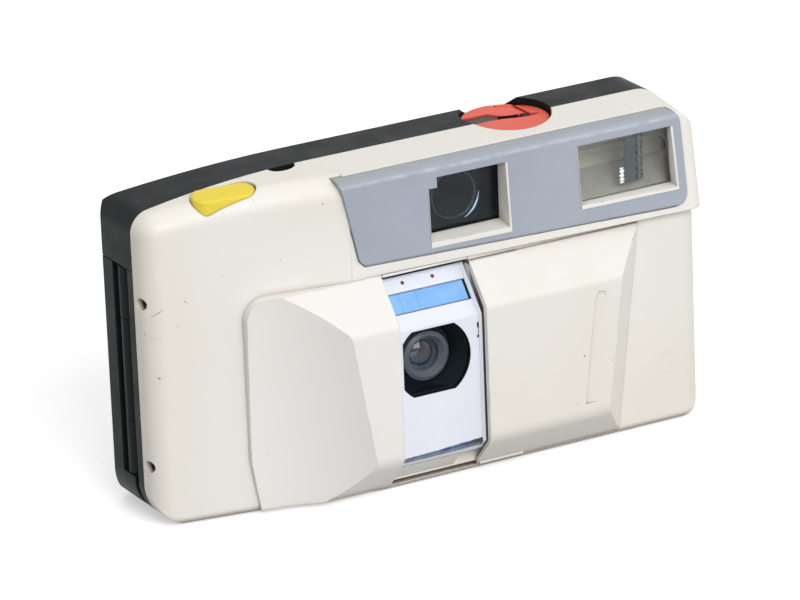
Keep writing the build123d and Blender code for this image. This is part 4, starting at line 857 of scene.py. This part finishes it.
def hang_lamp(name, place, size, watts):
    data = bpy.data.lights.new(name, "AREA")
    data.shape = "SQUARE"
    data.size = size
    data.energy = watts
    light = bpy.data.objects.new(name, data)
    bpy.context.scene.collection.objects.link(light)
    light.location = place
    aim = Vector(LAMP_AIM) - Vector(place)
    light.rotation_euler = aim.to_track_quat("-Z", "Y").to_euler()


def place_camera():
    """Camera at the photograph's viewpoint, from its azimuth, elevation and roll."""
    azimuth, elevation, roll = map(math.radians, (CAMERA_AZIMUTH, CAMERA_ELEVATION, CAMERA_ROLL))
    back = Vector((
        math.sin(azimuth) * math.cos(elevation),
        -math.cos(azimuth) * math.cos(elevation),
        math.sin(elevation),
    ))
    level = Vector((math.cos(azimuth), math.sin(azimuth), 0.0))
    upright = back.cross(level)
    right = level * math.cos(roll) + upright * math.sin(roll)
    up = upright * math.cos(roll) - level * math.sin(roll)
    place = right * CAMERA_ASIDE + up * CAMERA_ABOVE + back * CAMERA_DISTANCE
    place.x += CAMERA_SIDE_STEP
    turn = Matrix((right, up, back)).transposed().to_4x4()
    data = bpy.data.cameras.new("camera")
    data.lens = LENS_MM
    data.sensor_width = SENSOR_MM
    data.clip_start = CLIP_NEAR
    data.clip_end = CLIP_FAR
    view = bpy.data.objects.new("camera", data)
    bpy.context.scene.collection.objects.link(view)
    view.matrix_world = Matrix.Translation(place) @ turn
    bpy.context.scene.camera = view


# Materials of the CAD nodes; the numbers after a colour are roughness and grain, and a colour
# after the edge colour is painted shade for the grooves
cell_low, cell_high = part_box("battery_cells")
# Painted shade: dark red in the hollows of the red plastic
red = moulded("red_plastic", RED, 0.34, 0.08, (0.90, 0.30, 0.22), (0.10, 0.01, 0.01), shine=0.15)
dark = moulded("dark_plastic", (0.007, 0.012, 0.015), 0.45, 0.12, (0.03, 0.035, 0.04), shine=0.14)
cream = cream_material()
# Painted shade: bluish grey in the hollows of the white plastic
white = moulded("white_plastic", WHITE, 0.18, 0.03, hollow_shade=(0.30, 0.31, 0.36), hollow=0.0015)
blue = stripe_material()
blackened = moulded(
    "blackened_steel", (0.018, 0.020, 0.024), 0.35, 0.10, (0.05, 0.05, 0.055), shine=0.3
)
FINISHES = {
    "cream_plastic": cream,
    "black_plastic": moulded(
        "black_plastic", BLACK, 0.45, 0.14, (0.07, 0.075, 0.08), shine=BLACK_SHINE
    ),
    "panel_plastic": fascia_material(),
    "white_plastic": white,
    "blue_plastic": blue,
    "red_plastic": red,
    # Painted shade: orange-brown in the hollows at the button's foot
    "yellow_plastic": moulded(
        "yellow_plastic", YELLOW, 0.32, 0.08, (0.95, 0.80, 0.22), (0.70, 0.33, 0.02), shine=0.25
    ),
    "dark_plastic": dark,
    "clear_plastic": clear("clear_plastic", (0.93, 0.95, 0.95), 0.02, 1.40),
    "smoke_plastic": clear("smoke_plastic", (0.12, 0.12, 0.13), 0.05, 1.49),
    "lens_glass": clear("lens_glass", (0.86, 0.90, 0.95), 0.005, 1.62),
    "reflector": metal("reflector", (0.38, 0.365, 0.325), 0.60, (14.0, 1.0, 1.0)),
    "steel": metal("steel", STEEL, 0.28),
    "dark_steel": metal("dark_steel", (0.10, 0.10, 0.105), 0.40),
    "circuit": circuit_material(),
    "cell_sleeve": cell_material(cell_low.z, cell_high.z),
    "capacitor_sleeve": moulded(
        "capacitor_sleeve", (0.02, 0.022, 0.03), 0.25, 0.05, (0.06, 0.06, 0.07)
    ),
}
OWN_FINISH = {
    "back_door": door_material(),
    "lens_barrel": moulded(
        "barrel_plastic", (0.105, 0.125, 0.150), 0.40, 0.10, (0.22, 0.25, 0.28), shine=0.3
    ),
    "lens_panel": lens_panel_material(),
    "counter_dial": counter_material(),
    "viewfinder_window": clear("finder_plastic", (0.80, 0.88, 0.94), 0.02, 1.26),
    "front_lens": clear("coated_glass", (0.48, 0.54, 0.61), 0.005, 1.44),
    "flash_tube": clear("tube_glass", (0.90, 0.89, 0.85), 0.03, 1.12),
    "shutter_blade": blackened,
    "shutter_cover": blackened,
    "case_screws": blackened,
}
dress_nodes()

# Materials of the scene's own pieces
slate = moulded("slate_plastic", (0.042, 0.048, 0.050), 0.45, 0.12, (0.10, 0.10, 0.10), shine=0.3)
dot_red = moulded("index_paint", DOT_RED, 0.35, 0.04)
gloss_black = moulded("gloss_black", (0.010, 0.016, 0.020), 0.22, 0.02, shine=0.35)
# Painted highlight: pale plastic for the crescent on the finder lens edge
lens_highlight_paint = moulded("painted_lens_highlight", (0.62, 0.70, 0.74), 0.30, 0.10)
guard_metal = metal("oxidised_steel", (0.050, 0.070, 0.080), 0.45, (1.0, 1.0, 30.0))
# Painted highlight: pale plastic for the glint at the guard's foot
painted_contact_glint = moulded("painted_contact_glint", (0.60, 0.66, 0.68), 0.25, 0.1)

# Two red index dots above the stripe of the lens panel
for number, x in enumerate(DOT_X):
    spot = Vector((x, DOT_Y, DOT_Z)) * MM

    def dot_form(shape, spot=spot):
        dome(shape, spot, PANEL_FACET, DOT_R * MM, DOT_RISE * MM)

    mesh_piece(f"index_dot_{number + 1}", dot_form, dot_red, "camera")

# Rewind dial: the front half, the crank with its knuckle, and what shows dark between them, with
# a dark sheet of painted shade on the crank's flank
knob = mesh_piece("dial_front", dial_front_form, red, "rewind", 0.3)
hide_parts("rewind_knob")
crank = mesh_piece("dial_crank", crank_form, red, "crank", 0.3)
mesh_piece("dial_crank_knuckle", knuckle_form, red, "crank", 0.12)
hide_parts("rewind_crank")
mesh_piece("dial_finger_recess", recess_form, slate, "rewind", 0.12)
# Painted shade: dark sheet on the crank's flank
mesh_piece("crank_slot_shade", slot_shade_form, dark, "crank", 0.02)
mesh_piece("crank_pin_bracket", bracket_form, dark, "rewind", 0.1)

# Lens panel: side skirt under the cover's edge, trim above the slot, catch marks and stripe
mesh_piece("lens_panel_skirt", skirt_form, white, "camera", 0.08)
mesh_piece("slot_trim", trim_form, cream, "camera", 0.15)
mesh_piece("cover_catch", catch_form, dark, "camera", 0.05)
stripe = mesh_piece("blue_inlay", stripe_form, blue, "camera", 0.06)
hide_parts("blue_stripe")

# Round lens seat inside the finder tunnel, with a pale crescent on its lens edge as a painted
# highlight
mesh_piece("finder_lens_seat", finder_seat_form, gloss_black, "camera")
mesh_piece("finder_lens_highlight", finder_highlight_form, lens_highlight_paint, "camera")

# Guard of the trigger contact behind the flash window, with pale ribs at its foot as a painted
# glint
contact_low, contact_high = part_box("flash_contact")
mesh_piece("contact_guard", guard_form, guard_metal, "camera", 0.06)
mesh_piece("contact_glint", glint_form, painted_contact_glint, "camera", 0.04)

lay_floor()
light_sky()
for name, (place, size, watts) in LAMPS.items():
    hang_lamp(name, place, size, watts)
place_camera()
bpy.context.scene.view_settings.view_transform = "Standard"
